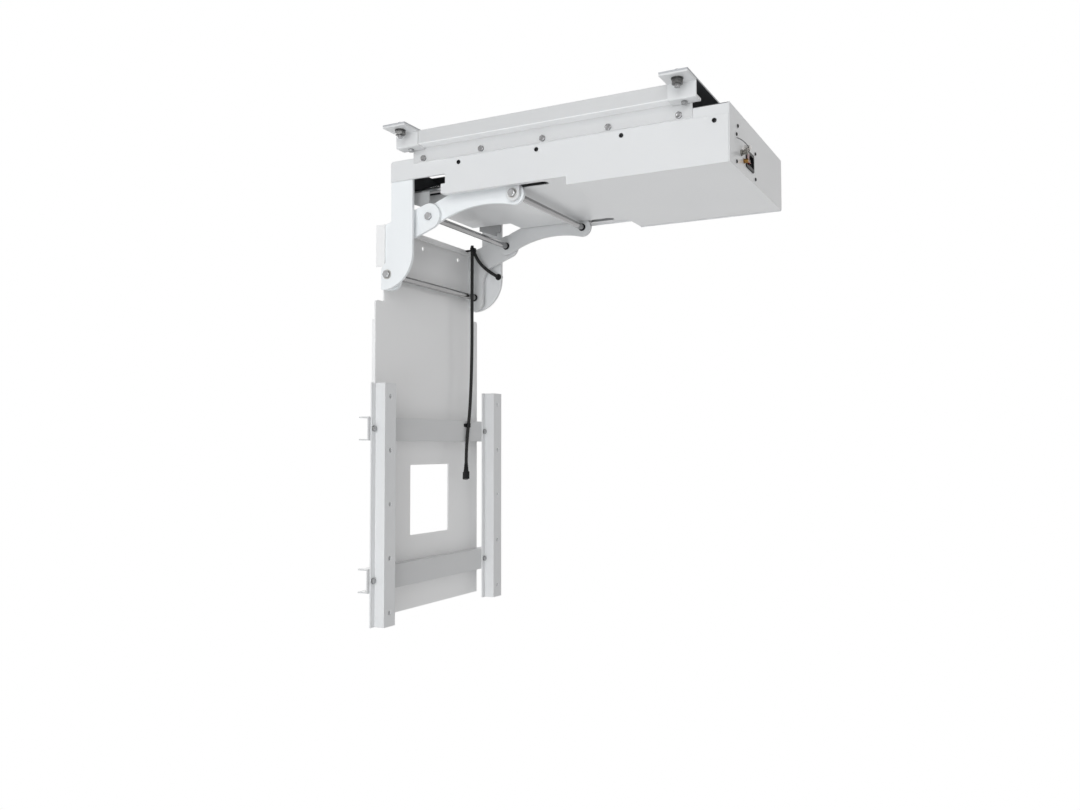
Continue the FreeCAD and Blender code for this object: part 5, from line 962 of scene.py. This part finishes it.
# Lead clips: two black nylon clips. The upper one holds the lead and the start of its loop at the
# column's top hem. The lower one straddles the lead on the upper cross rail's face.
CLIP_WALL, CLIP_BEVEL, CLIP_PLAY, CLIP_PINCH = 0.0013, 0.0008, 0.0002, 0.96
TOP_CLIP_REACH, TOP_CLIP_HEIGHT, TOP_CLIP_LOW, HEM_FRONT = 0.008, 0.0075, -0.161, 0.3395
TANG_HALF, TANG_START, TANG_HEIGHT, TANG_CUT = 0.0035, 0.0045, 0.003, 0.0004
SADDLE_X, SADDLE_LOW, SADDLE_HEIGHT, SADDLE_LEAN, RAIL_FACE = 0.1088, -0.547, 0.009, 0.184, 0.3295
FOOT_X, FOOT_HALF, FOOT_THICKNESS, FOOT_INSET = 0.008, 0.0045, 0.0018, 0.001
BAND_RADIUS = LEAD_DIAMETER / 2 + CLIP_WALL
TOP_X, TOP_Y = LEAD_ROUTE[0][:2]
SADDLE_Y = LEAD_ROUTE[7][1]


def round_two(angle):
    """The upper clip's outline: one band round the lead and the start of the loop."""
    c, s = math.cos(angle), abs(math.sin(angle))
    if c <= 0.0:
        return BAND_RADIUS
    side = BAND_RADIUS / max(s, NO_ZERO)
    return side if side * c < TOP_CLIP_REACH else (
        TOP_CLIP_REACH * c + math.sqrt(max(0.0, BAND_RADIUS ** 2 - (TOP_CLIP_REACH * s) ** 2)))


def on_face(angle):
    """The lower clip's outline: a band that lies flat on the rail."""
    return min(BAND_RADIUS, (RAIL_FACE - SADDLE_Y) / max(math.sin(angle), NO_ZERO))


def band(outline, height):
    """A clip's band with softened edges, from z 0 up."""
    bore = LEAD_DIAMETER / 2 + CLIP_PLAY
    return turned([(bore, 0.0), lambda angle: (outline(angle) * CLIP_PINCH, 0.0),
                   lambda angle: (outline(angle), CLIP_BEVEL),
                   lambda angle: (outline(angle), height - CLIP_BEVEL),
                   lambda angle: (outline(angle) * CLIP_PINCH, height), (bore, height)], loop=True)


top_verts, top_faces = band(round_two, TOP_CLIP_HEIGHT)
top_verts = [(x + TOP_X, y + TOP_Y, z + TOP_CLIP_LOW) for x, y, z in top_verts]
saddle_verts, saddle_faces = band(on_face, SADDLE_HEIGHT)
saddle_verts = [(x + SADDLE_X + (z - SADDLE_HEIGHT / 2) * SADDLE_LEAN, y + SADDLE_Y,
                 z + SADDLE_LOW) for x, y, z in saddle_verts]
lead_clips = mesh_piece("lead_clip_bands", *gather(
    (top_verts, top_faces), (saddle_verts, saddle_faces),
    block((TOP_X - TANG_HALF, TOP_Y + TANG_START, TOP_CLIP_LOW),
          (TOP_X + TANG_HALF, HEM_FRONT, TOP_CLIP_LOW + TANG_HEIGHT), TANG_CUT),
    *[block((SADDLE_X + x - FOOT_HALF, RAIL_FACE - FOOT_THICKNESS, SADDLE_LOW + FOOT_INSET),
            (SADDLE_X + x + FOOT_HALF, RAIL_FACE, SADDLE_LOW + SADDLE_HEIGHT - FOOT_INSET),
            TANG_CUT) for x in (-FOOT_X, FOOT_X)]), MOULDED_CORNER)
lead_clips.data.materials.append(moulded)
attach(lead_clips, "flip_frame")
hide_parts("lead_clips")

# Grommet: a soft black rubber ring pressed into the right drop plate, where the loop of the lead
# goes through the sheet.
dress(cord_black, "lead_grommet")
